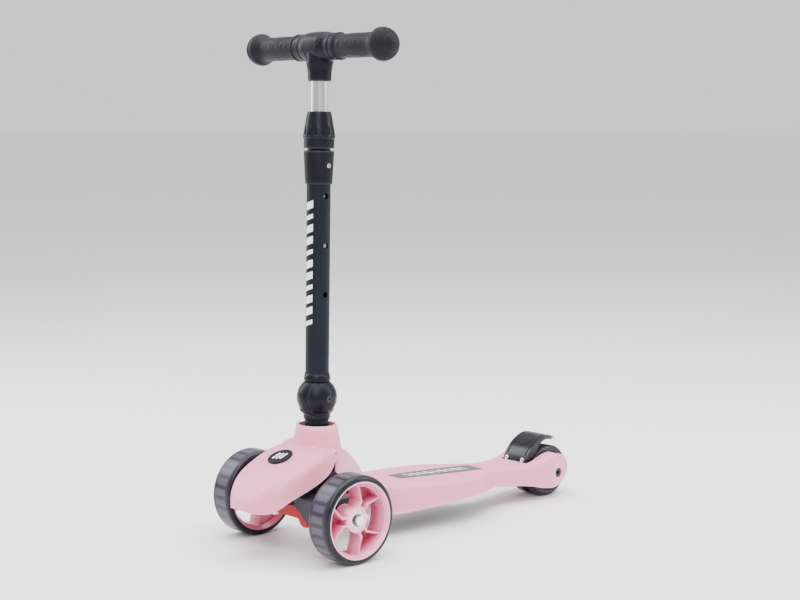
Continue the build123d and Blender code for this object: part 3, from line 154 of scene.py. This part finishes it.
def layered_finish(name, colour, rough, grain, depth, vary=0.05, rough_vary=0.06, wear=None,
                   stretch=(1, 1, 1), mottle=MOTTLE_SCALE, **sockets):
    """Material with mottled colour, uneven roughness, surface grain and worn edges.

    Returns the material, its node tree, its shader and the socket of its colour.
    """
    material = bpy.data.materials.new(name)
    material.use_nodes = True
    tree = material.node_tree
    shader = tree.nodes["Principled BSDF"]
    for key, value in sockets.items():
        shader.inputs[key.replace("_", " ")].default_value = value
    cloud = map_range(tree, object_noise(tree, mottle, MOTTLE_DETAIL, stretch), *NOISE_SPAN, 0, 1)
    base = mix_colour(tree, cloud, shade(colour, 1 - vary), shade(colour, 1 + vary))
    if wear:
        edges = add_node(tree, "ShaderNodeNewGeometry").outputs["Pointiness"]
        base = mix_colour(tree, map_range(tree, edges, *WORN_EDGE, 0, 1), base, wear)
    tree.links.new(base, shader.inputs["Base Color"])
    smear = object_noise(tree, SMEAR_SCALE, SMEAR_DETAIL, stretch)
    smoothest = max(rough - rough_vary, LEAST_ROUGH)
    tree.links.new(map_range(tree, smear, *NOISE_SPAN, smoothest, rough + rough_vary), shader.inputs["Roughness"])
    bump = add_node(tree, "ShaderNodeBump", Strength=BUMP_STRENGTH, Distance=depth)
    tree.links.new(object_noise(tree, grain, GRAIN_DETAIL, stretch), bump.inputs["Height"])
    tree.links.new(bump.outputs["Normal"], shader.inputs["Normal"])
    return material, tree, shader, base


def finish(*settings, **more):
    """Material alone, for a finish that needs nothing added."""
    return layered_finish(*settings, **more)[0]


PINK = (0.80, 0.25, 0.40)
PINK_WORN = (0.86, 0.38, 0.52)
RIM_PINK = (0.76, 0.20, 0.36)
RIM_WORN = (0.90, 0.46, 0.60)
# painted shade: deep red inside the rim's spoke pockets
POCKET_SHADE_RED = (0.52, 0.07, 0.13)
POCKET_SHADE_SPAN = (-6 * MM, 9 * MM)  # where the painted shade of the pockets is strongest and where it ends
POCKET_SHADE_SHARE = 0.8
INK = (0.005, 0.005, 0.009)
SMOKE = (0.020, 0.017, 0.028)
SMOKE_BLOCK = (0.062, 0.055, 0.080)
# painted shade: near-black sidewalls of the front tyres
SMOKE_SIDE_SHADE = (0.006, 0.006, 0.009)
SIDE_SHADE_SPAN = (15.5 * MM, 18.5 * MM)  # from the tyre's middle, where the painted shade of the sidewall begins and is full
TYRE_BLOCKS = 25
BLOCK_SHARE = 0.31               # half width of a block, as a share of the spacing
BLOCK_HALF = 11 * MM
BLOCK_SOFT = (0.06, 1.5 * MM)    # soft edge of a block, round the tyre and across it


def rim_material():
    """Glossy pink with painted shade that deepens to red inside the spokes' pockets."""
    material, tree, shader, base = layered_finish(
        "rim_gloss", RIM_PINK, 0.26, grain=500.0, depth=0.02 * MM, wear=RIM_WORN,
        Coat_Weight=0.35, Coat_Roughness=0.1, Subsurface_Weight=0.08, Subsurface_Scale=4 * MM)
    # painted shade: the pink turns red towards the inside of the pockets
    across = plain_math(tree, "ABSOLUTE", object_place(tree)["X"])
    inward, outward = (track_half + reach for reach in POCKET_SHADE_SPAN)
    depth = map_range(tree, across, inward, outward, POCKET_SHADE_SHARE, 0)
    tree.links.new(mix_colour(tree, depth, base, POCKET_SHADE_RED), shader.inputs["Base Color"])
    return material


def tyre_material(name, blocks):
    """Smoke-coloured cast polyurethane; the rim's blocks show through the front tyres, whose sides get painted
    shade.
    """
    material, tree, shader, base = layered_finish(
        name, SMOKE, 0.3, grain=380.0, depth=0.04 * MM, vary=0.12,
        Coat_Weight=0.08, Coat_Roughness=0.2, Specular_IOR_Level=0.22)
    if not blocks:
        return material
    place = object_place(tree)
    behind = plain_math(tree, "SUBTRACT", place["Y"], front_axle.y)
    above = plain_math(tree, "SUBTRACT", place["Z"], front_axle.z)
    across = plain_math(tree, "ABSOLUTE", place["X"])
    from_middle = plain_math(tree, "ABSOLUTE", plain_math(tree, "SUBTRACT", across, track_half))
    spacings = plain_math(tree, "MULTIPLY", plain_math(tree, "ARCTAN2", above, behind), TYRE_BLOCKS / (2 * pi))
    share = plain_math(tree, "PINGPONG", spacings, 0.5)
    round_soft, across_soft = BLOCK_SOFT
    along = map_range(tree, share, BLOCK_SHARE - round_soft, BLOCK_SHARE + round_soft, 1, 0)
    width = map_range(tree, from_middle, BLOCK_HALF - across_soft, BLOCK_HALF + across_soft, 1, 0)
    base = mix_colour(tree, plain_math(tree, "MULTIPLY", along, width), base, SMOKE_BLOCK)
    # painted shade: the front tyres darken to near black towards their sidewalls
    base = mix_colour(tree, map_range(tree, from_middle, *SIDE_SHADE_SPAN, 0, 1), base, SMOKE_SIDE_SHADE)
    tree.links.new(base, shader.inputs["Base Color"])
    return material


looks = {
    "pink_plastic": finish("pink_satin", PINK, 0.42, grain=1500.0, depth=0.03 * MM, vary=0.02, wear=PINK_WORN,
                           Subsurface_Weight=0.06, Subsurface_Scale=4 * MM),
    "rim_plastic": rim_material(),
    "black_plastic": finish("black_satin", INK, 0.36, grain=1200.0, depth=0.05 * MM, vary=0.2,
                            wear=(0.03, 0.03, 0.04), Specular_IOR_Level=BLACK_GLOSS),
    "black_paint": finish("black_powder_coat", (0.006, 0.007, 0.013), 0.42, grain=2200.0, depth=0.06 * MM,
                          vary=0.15, Specular_IOR_Level=BLACK_GLOSS),
    "grip_rubber": finish("grip_rubber", (0.008, 0.008, 0.011), 0.5, grain=1600.0, depth=0.10 * MM, vary=0.2,
                          wear=(0.02, 0.02, 0.026), Specular_IOR_Level=BLACK_GLOSS),
    "silver_tube": finish("brushed_aluminium", (0.62, 0.62, 0.65), 0.2, grain=700.0, depth=0.01 * MM, vary=0.38,
                          stretch=(1, 1, 0.02), mottle=110.0, Metallic=1.0),
    "steel": finish("zinc_steel", (0.27, 0.26, 0.25), 0.24, grain=900.0, depth=0.03 * MM, vary=0.1,
                    wear=(0.85, 0.85, 0.84), Metallic=1.0),
    # near-black steel, much darker than the plain steel
    "dark_steel": finish("black_oxide_steel", (0.05, 0.05, 0.056), 0.4, grain=900.0, depth=0.03 * MM, vary=0.2,
                         Metallic=1.0),
    "red_plastic": finish("red_satin", (0.21, 0.003, 0.008), 0.38, grain=1100.0, depth=0.05 * MM, vary=0.1,
                          wear=(0.34, 0.012, 0.016), Specular_IOR_Level=BLACK_GLOSS),
    "smoke_tyre": tyre_material("tyre_smoke", blocks=True),
    "panel_grey": finish("panel_grain", (0.075, 0.075, 0.10), 0.5, grain=1800.0, depth=0.10 * MM, vary=0.12),
    "white_print": finish("white_print", (0.86, 0.86, 0.88), 0.4, grain=1300.0, depth=0.02 * MM, vary=0.03),
    "elastomer": finish("elastomer", (0.03, 0.03, 0.032), 0.6, grain=900.0, depth=0.06 * MM, vary=0.2),
    "bush_plastic": finish("acetal", (0.75, 0.74, 0.70), 0.3, grain=900.0, depth=0.02 * MM, vary=0.04,
                           Subsurface_Weight=0.1, Subsurface_Scale=3 * MM),
}
# pieces whose finish differs from the rest of their slot
rear_tyre_look = tyre_material("rear_tyre_smoke", blocks=False)
own_looks = {
    "rear_tyre_left": rear_tyre_look,
    "rear_tyre_right": rear_tyre_look,
    "brake_fender": finish("fender_gloss", INK, 0.2, grain=700.0, depth=0.03 * MM, vary=0.2,
                           Specular_IOR_Level=0.3),
}
for part in frame["record"]["subparts"]:
    materials = frame["nodes"][part["node"]].data.materials
    materials.clear()
    materials.append(own_looks.get(part["node"], looks[part["material_slot"]]))


# ---------------------------------------------------------------- mesh helpers
RAISED_STEPS = 8


def add_piece(name, points, faces, slot, body, replaced=()):
    """New smooth mesh piece with a slot's finish, riding on a body."""
    mesh = bpy.data.meshes.new(name)
    mesh.from_pydata([tuple(point) for point in points], [], faces)
    mesh.validate()
    for face in mesh.polygons:
        face.use_smooth = True
    piece = bpy.data.objects.new(name, mesh)
    bpy.context.scene.collection.objects.link(piece)
    mesh.materials.append(looks[slot])
    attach(piece, body)
    if replaced:
        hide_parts(*replaced)
    return piece


def ring_faces(rings, around, closed=True, offset=0):
    """Quads between rows of points that each go round."""
    faces = []
    for row in range(rings - 1):
        for step in range(around if closed else around - 1):
            after = (step + 1) % around
            faces.append((offset + row * around + step, offset + row * around + after,
                          offset + (row + 1) * around + after, offset + (row + 1) * around + step))
    return faces


def end_faces(rings, around, offset=0):
    """Faces that close the first and the last row of points."""
    last = offset + (rings - 1) * around
    return [tuple(reversed(range(offset, offset + around))), tuple(range(last, last + around))]


def smooth_step(value):
    """0 below 0, 1 above 1 and a smooth rise between."""
    value = min(max(value, 0.0), 1.0)
    return value * value * (3 - 2 * value)


def surface_tree(node):
    """Search tree over a CAD node's faces."""
    data = frame["nodes"][node].data
    return BVHTree.FromPolygons([v.co.copy() for v in data.vertices], [tuple(p.vertices) for p in data.polygons])


def drape(tree, start, direction, reach=0.2):
    """Where a ray meets a surface: (point, outward normal), or None."""
    point, normal, _, _ = tree.ray_cast(start, direction, reach)
    if point is None:
        return None
    return point, normal if normal.dot(direction) < 0 else -normal


def raised_line(name, hits, width, height, slot, body, closed=False):
    """Low rounded rib that follows the points found on a surface, sunk a little into it."""
    hits = [hit for hit in hits if hit]
    points = []
    count = len(hits)
    for index, (point, normal) in enumerate(hits):
        before = hits[(index - 1) % count if closed else max(index - 1, 0)][0]
        after = hits[(index + 1) % count if closed else min(index + 1, count - 1)][0]
        side = (after - before).normalized().cross(normal).normalized()
        for step in range(RAISED_STEPS):
            turn = 2 * pi * step / RAISED_STEPS
            points.append(point + side * (cos(turn) * width / 2) + normal * (sin(turn) * height))
    faces = ring_faces(count, RAISED_STEPS)
    if closed:
        last = (count - 1) * RAISED_STEPS
        for step in range(RAISED_STEPS):
            after = (step + 1) % RAISED_STEPS
            faces.append((last + step, last + after, after, step))
    else:
        faces += end_faces(count, RAISED_STEPS)
    return add_piece(name, points, faces, slot, body)


# ---------------------------------------------------------------- grips
BAR_GRIP_INNER = 40.0 * MM       # where a grip starts, along the bar from its middle
GRIP_AROUND = 96
GRIP_ROWS = 220
# along the grip, radius, in millimetres
GRIP_PROFILE = ((0, 17.6), (0.8, 18.5), (3.0, 18.6), (4.0, 16.5), (6, 16.2), (38, 16.9), (71, 16.2), (77, 17.4),
                (80.5, 19.2), (82.8, 21.4), (84.8, 22.2), (86.6, 22.2))
RELIEF_SPAN = (5, 71)            # stretch with panels and arcs, along the grip, in millimetres
PANEL_MID = 36.0 * MM            # middle of the smooth lens panels, along the grip
PANEL_HALF = 30.0 * MM
PANEL_TURN = radians(42)         # half width of a panel at its middle
PANEL_SUNK = 0.45 * MM
PANEL_EDGE = radians(5)          # width of the slope at a panel's edge
PANEL_LIP = 0.35 * MM
LIP_TURN = radians(3)
ARC_PLACES = (20 * MM, 37 * MM, 54 * MM)
ARC_ALONG = 6.2 * MM             # half length of a finger arc, along the grip
ARC_TURN = radians(26)           # its height round the grip
ARC_RAISED = 0.5 * MM
ARC_WIDTH = 0.13                 # of the arc's line, as a share of its size
ARC_CUT = 0.35                   # an arc stops this share below its middle
ARC_FADE = 0.5                   # and fades out over this share
DOME_ROWS = 90
DOME_RIDGES = 7
DOME_RIDGED = (radians(10), radians(52))   # ridged part of the dome, from its edge towards its middle
DOME_GROOVE = 0.35 * MM
VENT_R = 1.5 * MM
VENT_DEPTH = 2.5 * MM
VENT_NARROWS = 0.9
bar_middle = sum(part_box("crossbar"), Vector()) / 2


def profile_radius(along):
    """Radius of the grip's plain outline, in millimetres."""
    for (x0, r0), (x1, r1) in zip(GRIP_PROFILE, GRIP_PROFILE[1:]):
        if along <= x1:
            return r0 + (r1 - r0) * smooth_step((along - x0) / (x1 - x0))
    return GRIP_PROFILE[-1][1]


def turn_between(turn, middle):
    """Signed angle from a middle to a turn, the short way round."""
    return atan2(sin(turn - middle), cos(turn - middle))


def grip_relief(along, turn):
    """Change of the grip's radius: sunk lens panels above and below, raised finger arcs front and back."""
    change = 0.0
    for panel_turn in (pi / 2, 3 * pi / 2):
        lens = (1 - ((along - PANEL_MID) / PANEL_HALF) ** 2) * PANEL_TURN
        if lens > 0:
            edge = lens - abs(turn_between(turn, panel_turn))
            change -= PANEL_SUNK * smooth_step(edge / PANEL_EDGE)
            change += PANEL_LIP * exp(-(edge / LIP_TURN) ** 2)
    for side_turn in (0, pi):
        up = turn_between(turn, side_turn) / ARC_TURN
        if up > -ARC_CUT:
            for place in ARC_PLACES:
                radius = hypot((along - place) / ARC_ALONG, up)
                ridge = exp(-((radius - 1) / ARC_WIDTH) ** 2)
                change += ARC_RAISED * ridge * smooth_step((up + ARC_CUT) / ARC_FADE)
    return change


def grip_rows():
    """Rows of points of a grip, each as (along, radius, turn), from the middle of the bar outwards."""
    turns = [2 * pi * step / GRIP_AROUND for step in range(GRIP_AROUND)]
    for row in range(GRIP_ROWS + 1):
        along = GRIP_PROFILE[-1][0] * row / GRIP_ROWS
        radius = profile_radius(along) * MM
        relief = RELIEF_SPAN[0] < along < RELIEF_SPAN[1]
        yield [(along * MM, radius + (grip_relief(along * MM, turn) if relief else 0), turn) for turn in turns]
    dome_x, dome_r = (value * MM for value in GRIP_PROFILE[-1])
    last_turn = pi / 2 - VENT_R / dome_r
    for row in range(1, DOME_ROWS + 1):
        rise = last_turn * row / DOME_ROWS
        share = (rise - DOME_RIDGED[0]) / (DOME_RIDGED[1] - DOME_RIDGED[0])
        ridge = dome_r
        if 0 < share < 1:
            ridge -= DOME_GROOVE * (1 - cos(2 * pi * DOME_RIDGES * share))
        yield [(dome_x + ridge * sin(rise), ridge * cos(rise), turn) for turn in turns]
    yield [(dome_x + dome_r - VENT_DEPTH, VENT_R * VENT_NARROWS, turn) for turn in turns]


def make_grip(side, name):
    """Rubber grip with a domed end, ridged round its edge and with a small vent in the middle."""
    rows = list(grip_rows())
    points = [bar_middle + Vector((side * (BAR_GRIP_INNER + along), -cos(turn) * radius, sin(turn) * radius))
              for row in rows for along, radius, turn in row]
    faces = ring_faces(len(rows), GRIP_AROUND) + end_faces(len(rows), GRIP_AROUND)
    if side > 0:
        faces = [tuple(reversed(face)) for face in faces]
    return add_piece(f"grip_detail_{name}", points, faces, "grip_rubber", "bar", (f"grip_{name}",))


for side, name in SIDES:
    make_grip(side, name)


# ---------------------------------------------------------------- folding ball
BALL_R = 27.75 * MM
BALL_HALF = 11.7 * MM            # half width of the tongue between the clevis cheeks
BALL_AROUND = 96
BALL_ROWS = 13
FULL_BELOW = (0.5, 0.7)          # how far down the full radius begins and is reached, as shares of the radius
NECK_PROFILE = ((17.5, 228.1), (18.5, 231), (17.3, 240), (14.5, 240.2), (14.5, 264))   # radius, height


def make_fold_ball():
    """Tongue of the folding joint, round as a slice of the ball, and the turned neck above it."""
    turns = [2 * pi * step / BALL_AROUND for step in range(BALL_AROUND)]
    points = []
    for row in range(BALL_ROWS):
        across = BALL_HALF * (2 * row / (BALL_ROWS - 1) - 1)
        slice_radius = sqrt(BALL_R ** 2 - across ** 2)
        for turn in turns:
            # full radius at the bottom, where the tongue fills the slot in the clevis
            low = smooth_step((-sin(turn) - FULL_BELOW[0]) / (FULL_BELOW[1] - FULL_BELOW[0]))
            radius = slice_radius * (1 - low) + BALL_R * low
            points.append(fold_centre + Vector((across, 0, 0)) + stem_back * (radius * cos(turn))
                          + stem_up * (radius * sin(turn)))
    neck_start = len(points)
    for radius, height in NECK_PROFILE:
        for turn in turns:
            points.append(on_stem(height * MM) + stem_back * (radius * MM * cos(turn))
                          + Vector((radius * MM * sin(turn), 0, 0)))
    faces = ring_faces(BALL_ROWS, BALL_AROUND) + end_faces(BALL_ROWS, BALL_AROUND)
    faces += ring_faces(len(NECK_PROFILE), BALL_AROUND, offset=neck_start)
    faces += end_faces(len(NECK_PROFILE), BALL_AROUND, offset=neck_start)
    return add_piece("fold_ball_detail", points, faces, "black_plastic", "stem", ("fold_tongue",))


make_fold_ball()


# ---------------------------------------------------------------- generic patterns in place of lettering
BAR_POINTS = (3, 7)              # points along and across a bar
BAR_LIFT = 0.12 * MM
BAR_SUNK = 1.6                   # thickness of a bar, in lifts
RAY_START = 50 * MM
STEM_BARS = 11
STEM_PATTERN = (302 * MM, 478 * MM)
STEM_BAR_LENGTHS = (6 * MM, 10 * MM, 10 * MM)
STEM_BAR_WIDTH = 13 * MM
STEM_BAR_SLANT = 0.35
PANEL_BARS = 9
PANEL_PATTERN = (0.12, 0.88)     # share of the panel's length
PANEL_BAR_LENGTHS = (4 * MM, 7 * MM)
PANEL_BAR_WIDTH = 15 * MM
PANEL_BAR_SLANT = 0.4


def slanted_bar(tree, centre, axes, length, width, slant, name, body):
    """Thin slanted bar lying on a surface, found by rays cast inwards."""
    along, across, outward = axes
    rows, columns = BAR_POINTS
    points = []
    for row in range(rows):
        for column in range(columns):
            u = (row / (rows - 1) - 0.5) * length
            v = (column / (columns - 1) - 0.5) * width
            start = centre + along * (u + slant * v) + across * v + outward * RAY_START
            hit = drape(tree, start, -outward)
            if hit is None:
                return None
            points.append(hit[0] + hit[1] * BAR_LIFT)
    under = [point - outward * (BAR_LIFT * BAR_SUNK) for point in points]
    faces = ring_faces(rows, columns, closed=False)
    count = rows * columns
    faces += [tuple(reversed([index + count for index in face])) for face in faces]
    rim = [(0, column) for column in range(columns)]
    rim += [(row, columns - 1) for row in range(1, rows)]
    rim += [(rows - 1, column) for column in reversed(range(columns - 1))]
    rim += [(row, 0) for row in reversed(range(1, rows - 1))]
    rim = [row * columns + column for row, column in rim]
    for first, second in zip(rim, rim[1:] + rim[:1]):
        faces.append((second, first, first + count, second + count))
    piece = add_piece(name, points + under, faces, "white_print", body)
    for face in piece.data.polygons:
        face.use_smooth = False
    return piece


def make_stem_marks():
    """Bars up the front of the outer tube."""
    tree = surface_tree("outer_tube")
    low, high = STEM_PATTERN
    for index in range(STEM_BARS):
        centre = on_stem(low + (high - low) * (index + 0.5) / STEM_BARS)
        slanted_bar(tree, centre, (stem_up, Vector((1, 0, 0)), -stem_back),
                    STEM_BAR_LENGTHS[index % len(STEM_BAR_LENGTHS)], STEM_BAR_WIDTH, STEM_BAR_SLANT,
                    f"stem_mark_{index + 1}", "stem")


def make_deck_marks():
    """Bars along the grey panel on the deck."""
    tree = surface_tree("deck_panel")
    low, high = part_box("deck_panel")
    begin, end = PANEL_PATTERN
    for index in range(PANEL_BARS):
        share = begin + (end - begin) * (index + 0.5) / PANEL_BARS
        centre = Vector((0, low.y + (high.y - low.y) * share, high.z))
        slanted_bar(tree, centre, (Vector((0, 1, 0)), Vector((1, 0, 0)), Vector((0, 0, 1))),
                    PANEL_BAR_LENGTHS[index % len(PANEL_BAR_LENGTHS)], PANEL_BAR_WIDTH, PANEL_BAR_SLANT,
                    f"deck_mark_{index + 1}", "chassis")


make_stem_marks()
make_deck_marks()


# ---------------------------------------------------------------- raised details of the fender and the collar
FENDER_RAY = 90 * MM
OVAL_STEPS = 48
OVAL_MIDDLE = 118                # turn round the rear axle, in degrees
OVAL_HALF_TURN = 13
OVAL_HALF_WIDTH = 11.5 * MM
OVAL_LINE = (1.8 * MM, 0.6 * MM)         # width and height of the raised line
BAND_TURNS = range(98, 151, 3)
BAND_ACROSS = 18.5 * MM
BAND_LINE = (2.2 * MM, 0.7 * MM)
COLLAR_STEPS = 72
COLLAR_HEIGHT = 141.5 * MM
COLLAR_RAY = 80 * MM
COLLAR_LINE = (1.4 * MM, 0.35 * MM)
fender_tree = surface_tree("brake_fender")
cover_tree = surface_tree("head_cover")


def fender_point(turn, across):
    """Point on the fender's outside, by angle round the rear axle and distance across."""
    outward = Vector((0, cos(radians(turn)), sin(radians(turn))))
    return drape(fender_tree, rear_axle + Vector((across, 0, 0)) + outward * FENDER_RAY, -outward)


def make_fender_lines():
    """Oval on the fender's crown and a band along each of its edges."""
    turns = [2 * pi * step / OVAL_STEPS for step in range(OVAL_STEPS)]
    oval = [fender_point(OVAL_MIDDLE + OVAL_HALF_TURN * sin(turn), OVAL_HALF_WIDTH * cos(turn)) for turn in turns]
    raised_line("fender_oval", oval, *OVAL_LINE, "black_plastic", "brake", closed=True)
    for side, name in SIDES:
        band = [fender_point(turn, side * BAND_ACROSS) for turn in BAND_TURNS]
        raised_line(f"fender_band_{name}", band, *BAND_LINE, "black_plastic", "brake")


def make_collar_line():
    """Faint rib round the foot of the cover's collar."""
    hits = []
    for step in range(COLLAR_STEPS):
        turn = 2 * pi * step / COLLAR_STEPS
        outward = Vector((cos(turn), 0, 0)) + stem_back * sin(turn)
        hits.append(drape(cover_tree, on_stem(COLLAR_HEIGHT) + outward * COLLAR_RAY, -outward))
    raised_line("collar_line", hits, *COLLAR_LINE, "pink_plastic", "chassis", closed=True)


make_fender_lines()
make_collar_line()


# ---------------------------------------------------------------- soft shoulder of the cover
# a grid with a point every millimetre; all of these are in millimetres, and rows count from the front axle
SHOULDER_ROWS = (-28, 42)
SHOULDER_HALF = 50
SHOULDER_CEILING = 145.6         # the collar counts as this high
SHOULDER_FLOOR = 116             # lower points are not on the cover's top
COLLAR_INSIDE = 31               # within this of the stem's axis a ray would fall into the collar
RAY_TOP = 200
CLOSED_REACH = 2                 # slits up to twice this wide are bridged
BLUR = 4.0
BLUR_REACH = 9
SUNK = 0.4                       # the fillet's edges lie this far inside the cover
SETTLED = 0.12                   # how much the smoothed surface is let down, so that it meets the cover cleanly
FADED = 0.05                     # below this share of its height the fillet stays inside the cover
SHOWING = -0.9 * SUNK            # faces with a corner above this are kept
SIDE_FADE = (36, 8)              # where the fillet starts to fade, and over what distance
FRONT_FADE = (-26, 6)
BACK_FADE = (30, 8)
SHOULDER_SKIN = 1.0 * MM


def near_rows(grid, pick):
    """Grid with each point picked from its neighbours in the rows before and behind."""
    count = len(grid)
    return [[pick(grid[other][column]
                  for other in range(max(place - CLOSED_REACH, 0), min(place + CLOSED_REACH + 1, count)))
             for column in range(len(grid[0]))] for place in range(count)]


def blur_line(values):
    """Values smoothed along one line of the grid."""
    result = []
    for place in range(len(values)):
        total = 0.0
        for step in range(-BLUR_REACH, BLUR_REACH + 1):
            total += exp(-(step / BLUR) ** 2 / 2) * values[min(max(place + step, 0), len(values) - 1)]
        result.append(total)
    return result


def blur_grid(grid):
    """Grid smoothed along its rows, then along its columns."""
    rows = [blur_line(row) for row in grid]
    columns = [blur_line(list(column)) for column in zip(*rows)]
    return [list(row) for row in zip(*columns)]


def cover_heights():
    """Heights of the cover's top over the grid, with the slits before its back half bridged."""
    axis = on_stem(SHOULDER_CEILING * MM) / MM
    heights = []
    for behind in range(SHOULDER_ROWS[0], SHOULDER_ROWS[1] + 1):
        place_y = front_axle.y / MM + behind
        row = []
        for across in range(-SHOULDER_HALF, SHOULDER_HALF + 1):
            hit = drape(cover_tree, Vector((across, place_y, RAY_TOP)) * MM, Vector((0, 0, -1)))
            height = hit[0].z / MM if hit else 0.0
            if hypot(across - axis.x, place_y - axis.y) < COLLAR_INSIDE:
                height = SHOULDER_CEILING
            row.append(min(height, SHOULDER_CEILING))
        heights.append(row)
    return near_rows(near_rows(heights, max), min)


def shoulder_mask(across, behind):
    """1 where the fillet has its full height, falling to 0 at its borders."""
    return ((1 - smooth_step((abs(across) - SIDE_FADE[0]) / SIDE_FADE[1]))
            * smooth_step((behind - FRONT_FADE[0]) / FRONT_FADE[1])
            * (1 - smooth_step((behind - BACK_FADE[0]) / BACK_FADE[1])))


def make_shoulder():
    """Fillet between the cover's tongue, its back half and the collar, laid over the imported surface."""
    heights = cover_heights()
    there = [[1.0 if height > SHOULDER_FLOOR else 0.0 for height in row] for row in heights]
    weighted = blur_grid([[height * weight for height, weight in zip(*rows)] for rows in zip(heights, there)])
    weights = blur_grid(there)
    places, rises = {}, {}
    for row, line in enumerate(heights):
        behind = SHOULDER_ROWS[0] + row
        for column, height in enumerate(line):
            if not there[row][column]:
                continue
            across = column - SHOULDER_HALF
            mask = shoulder_mask(across, behind)
            rise = -SUNK
            if mask >= FADED:
                smooth = weighted[row][column] / weights[row][column]
                rise = max((smooth - SETTLED - height) * mask, -SUNK)
            rises[row, column] = rise
            places[row, column] = Vector((across, front_axle.y / MM + behind, height + rise)) * MM
    quads = []
    for row, column in places:
        corners = ((row, column), (row, column + 1), (row + 1, column + 1), (row + 1, column))
        if all(corner in places for corner in corners):
            if max(rises[corner] for corner in corners) > SHOWING:
                quads.append(corners)
    used = sorted({corner for corners in quads for corner in corners})
    order = {corner: index for index, corner in enumerate(used)}
    piece = add_piece("cover_shoulder", [places[corner] for corner in used],
                      [tuple(order[corner] for corner in corners) for corners in quads], "pink_plastic", "chassis")
    skin = piece.modifiers.new("skin", "SOLIDIFY")
    skin.thickness = SHOULDER_SKIN
    skin.offset = -1
    return piece


make_shoulder()


# ---------------------------------------------------------------- curved lines on the T-joint
CURVE_STEPS = 22
CURVE_FROM = (7, -18)            # across and up from the bar's middle, in millimetres
CURVE_SIZE = (15, 26)
CURVE_POWER = 0.6
CURVE_LINE = (1.5 * MM, 0.45 * MM)
CURVE_RAY = 60 * MM


def make_joint_lines():
    """Line from the T-joint's neck up to each end of it, in front and behind."""
    tree = surface_tree("t_joint")
    for side, side_name in SIDES:
        for facing, facing_name in ((-1, "front"), (1, "back")):
            hits = []
            for step in range(CURVE_STEPS):
                share = step / (CURVE_STEPS - 1)
                across = side * (CURVE_FROM[0] + CURVE_SIZE[0] * share) * MM
                up = (CURVE_FROM[1] + CURVE_SIZE[1] * share ** CURVE_POWER) * MM
                start = bar_middle + Vector((across, facing * CURVE_RAY, up))
                hits.append(drape(tree, start, Vector((0, -facing, 0))))
            raised_line(f"t_joint_line_{side_name}_{facing_name}", hits, *CURVE_LINE, "black_plastic", "bar")


make_joint_lines()


# ---------------------------------------------------------------- floor, light and camera
FLOOR_HALF = 60.0
FLOOR_STEPS = 12
STAGE_AIM = Vector((0, 0.05, 0.3))
# name, place, power in watts, size
LIGHTS = (
    ("overhead", (0.2, 0.0, 2.6), 140, (3.0, 3.0)),
    ("key", (1.4, -1.6, 1.9), 42, (1.0, 1.6)),
    ("fill", (-1.8, -0.8, 1.3), 30, (0.8, 1.8)),
    ("rim", (1.6, 1.8, 1.4), 34, (0.8, 1.4)),
)
WORLD_COLOUR = (0.97, 0.97, 1.0, 1)
WORLD_STRENGTH = 1.1
CAMERA_FROM_AXLE = Vector((1.6689, -1.3480, 0.5843 - front_axle.z))
CAMERA_AZIMUTH = radians(47.45)
CAMERA_DOWN = radians(6.43)
CAMERA_ROLL = radians(0.15)
CAMERA_LENS = 71.5
CAMERA_SENSOR = 36.0


def make_floor():
    """Large pale floor."""
    points = [(FLOOR_HALF * (2 * column / FLOOR_STEPS - 1), FLOOR_HALF * (2 * row / FLOOR_STEPS - 1), 0)
              for row in range(FLOOR_STEPS + 1) for column in range(FLOOR_STEPS + 1)]
    mesh = bpy.data.meshes.new("floor")
    mesh.from_pydata(points, [], ring_faces(FLOOR_STEPS + 1, FLOOR_STEPS + 1, closed=False))
    mesh.materials.append(finish("floor_paper", (0.93, 0.93, 0.93), 0.8, grain=300.0, depth=0.02 * MM, vary=0.004))
    floor = bpy.data.objects.new("floor", mesh)
    bpy.context.scene.collection.objects.link(floor)


def area_light(name, place, power, size):
    """Soft rectangular light aimed at the scooter."""
    data = bpy.data.lights.new(name, "AREA")
    data.energy = power
    data.shape = "RECTANGLE"
    data.size, data.size_y = size
    light = bpy.data.objects.new(name, data)
    light.location = place
    light.rotation_mode = "QUATERNION"
    light.rotation_quaternion = (STAGE_AIM - Vector(place)).to_track_quat("-Z", "Y")
    bpy.context.scene.collection.objects.link(light)


def make_world():
    """Pale even light from all round."""
    world = bpy.data.worlds.new("studio")
    bpy.context.scene.world = world
    world.use_nodes = True
    background = world.node_tree.nodes["Background"]
    background.inputs["Color"].default_value = WORLD_COLOUR
    background.inputs["Strength"].default_value = WORLD_STRENGTH


def make_camera():
    """Camera at the photograph's viewing angle."""
    back = Vector((sin(CAMERA_AZIMUTH) * cos(CAMERA_DOWN), -cos(CAMERA_AZIMUTH) * cos(CAMERA_DOWN),
                   sin(CAMERA_DOWN)))
    right = Vector((cos(CAMERA_AZIMUTH), sin(CAMERA_AZIMUTH), 0))
    up = back.cross(right)
    rolled_right = right * cos(CAMERA_ROLL) + up * sin(CAMERA_ROLL)
    rolled_up = up * cos(CAMERA_ROLL) - right * sin(CAMERA_ROLL)
    turned = Matrix((rolled_right, rolled_up, back)).transposed().to_4x4()
    data = bpy.data.cameras.new("camera")
    data.lens = CAMERA_LENS
    data.sensor_width = CAMERA_SENSOR
    camera = bpy.data.objects.new("camera", data)
    camera.matrix_world = Matrix.Translation(front_axle + CAMERA_FROM_AXLE) @ turned
    bpy.context.scene.collection.objects.link(camera)
    bpy.context.scene.camera = camera


make_floor()
for light_name, light_place, light_power, light_size in LIGHTS:
    area_light(light_name, light_place, light_power, light_size)
make_world()
make_camera()
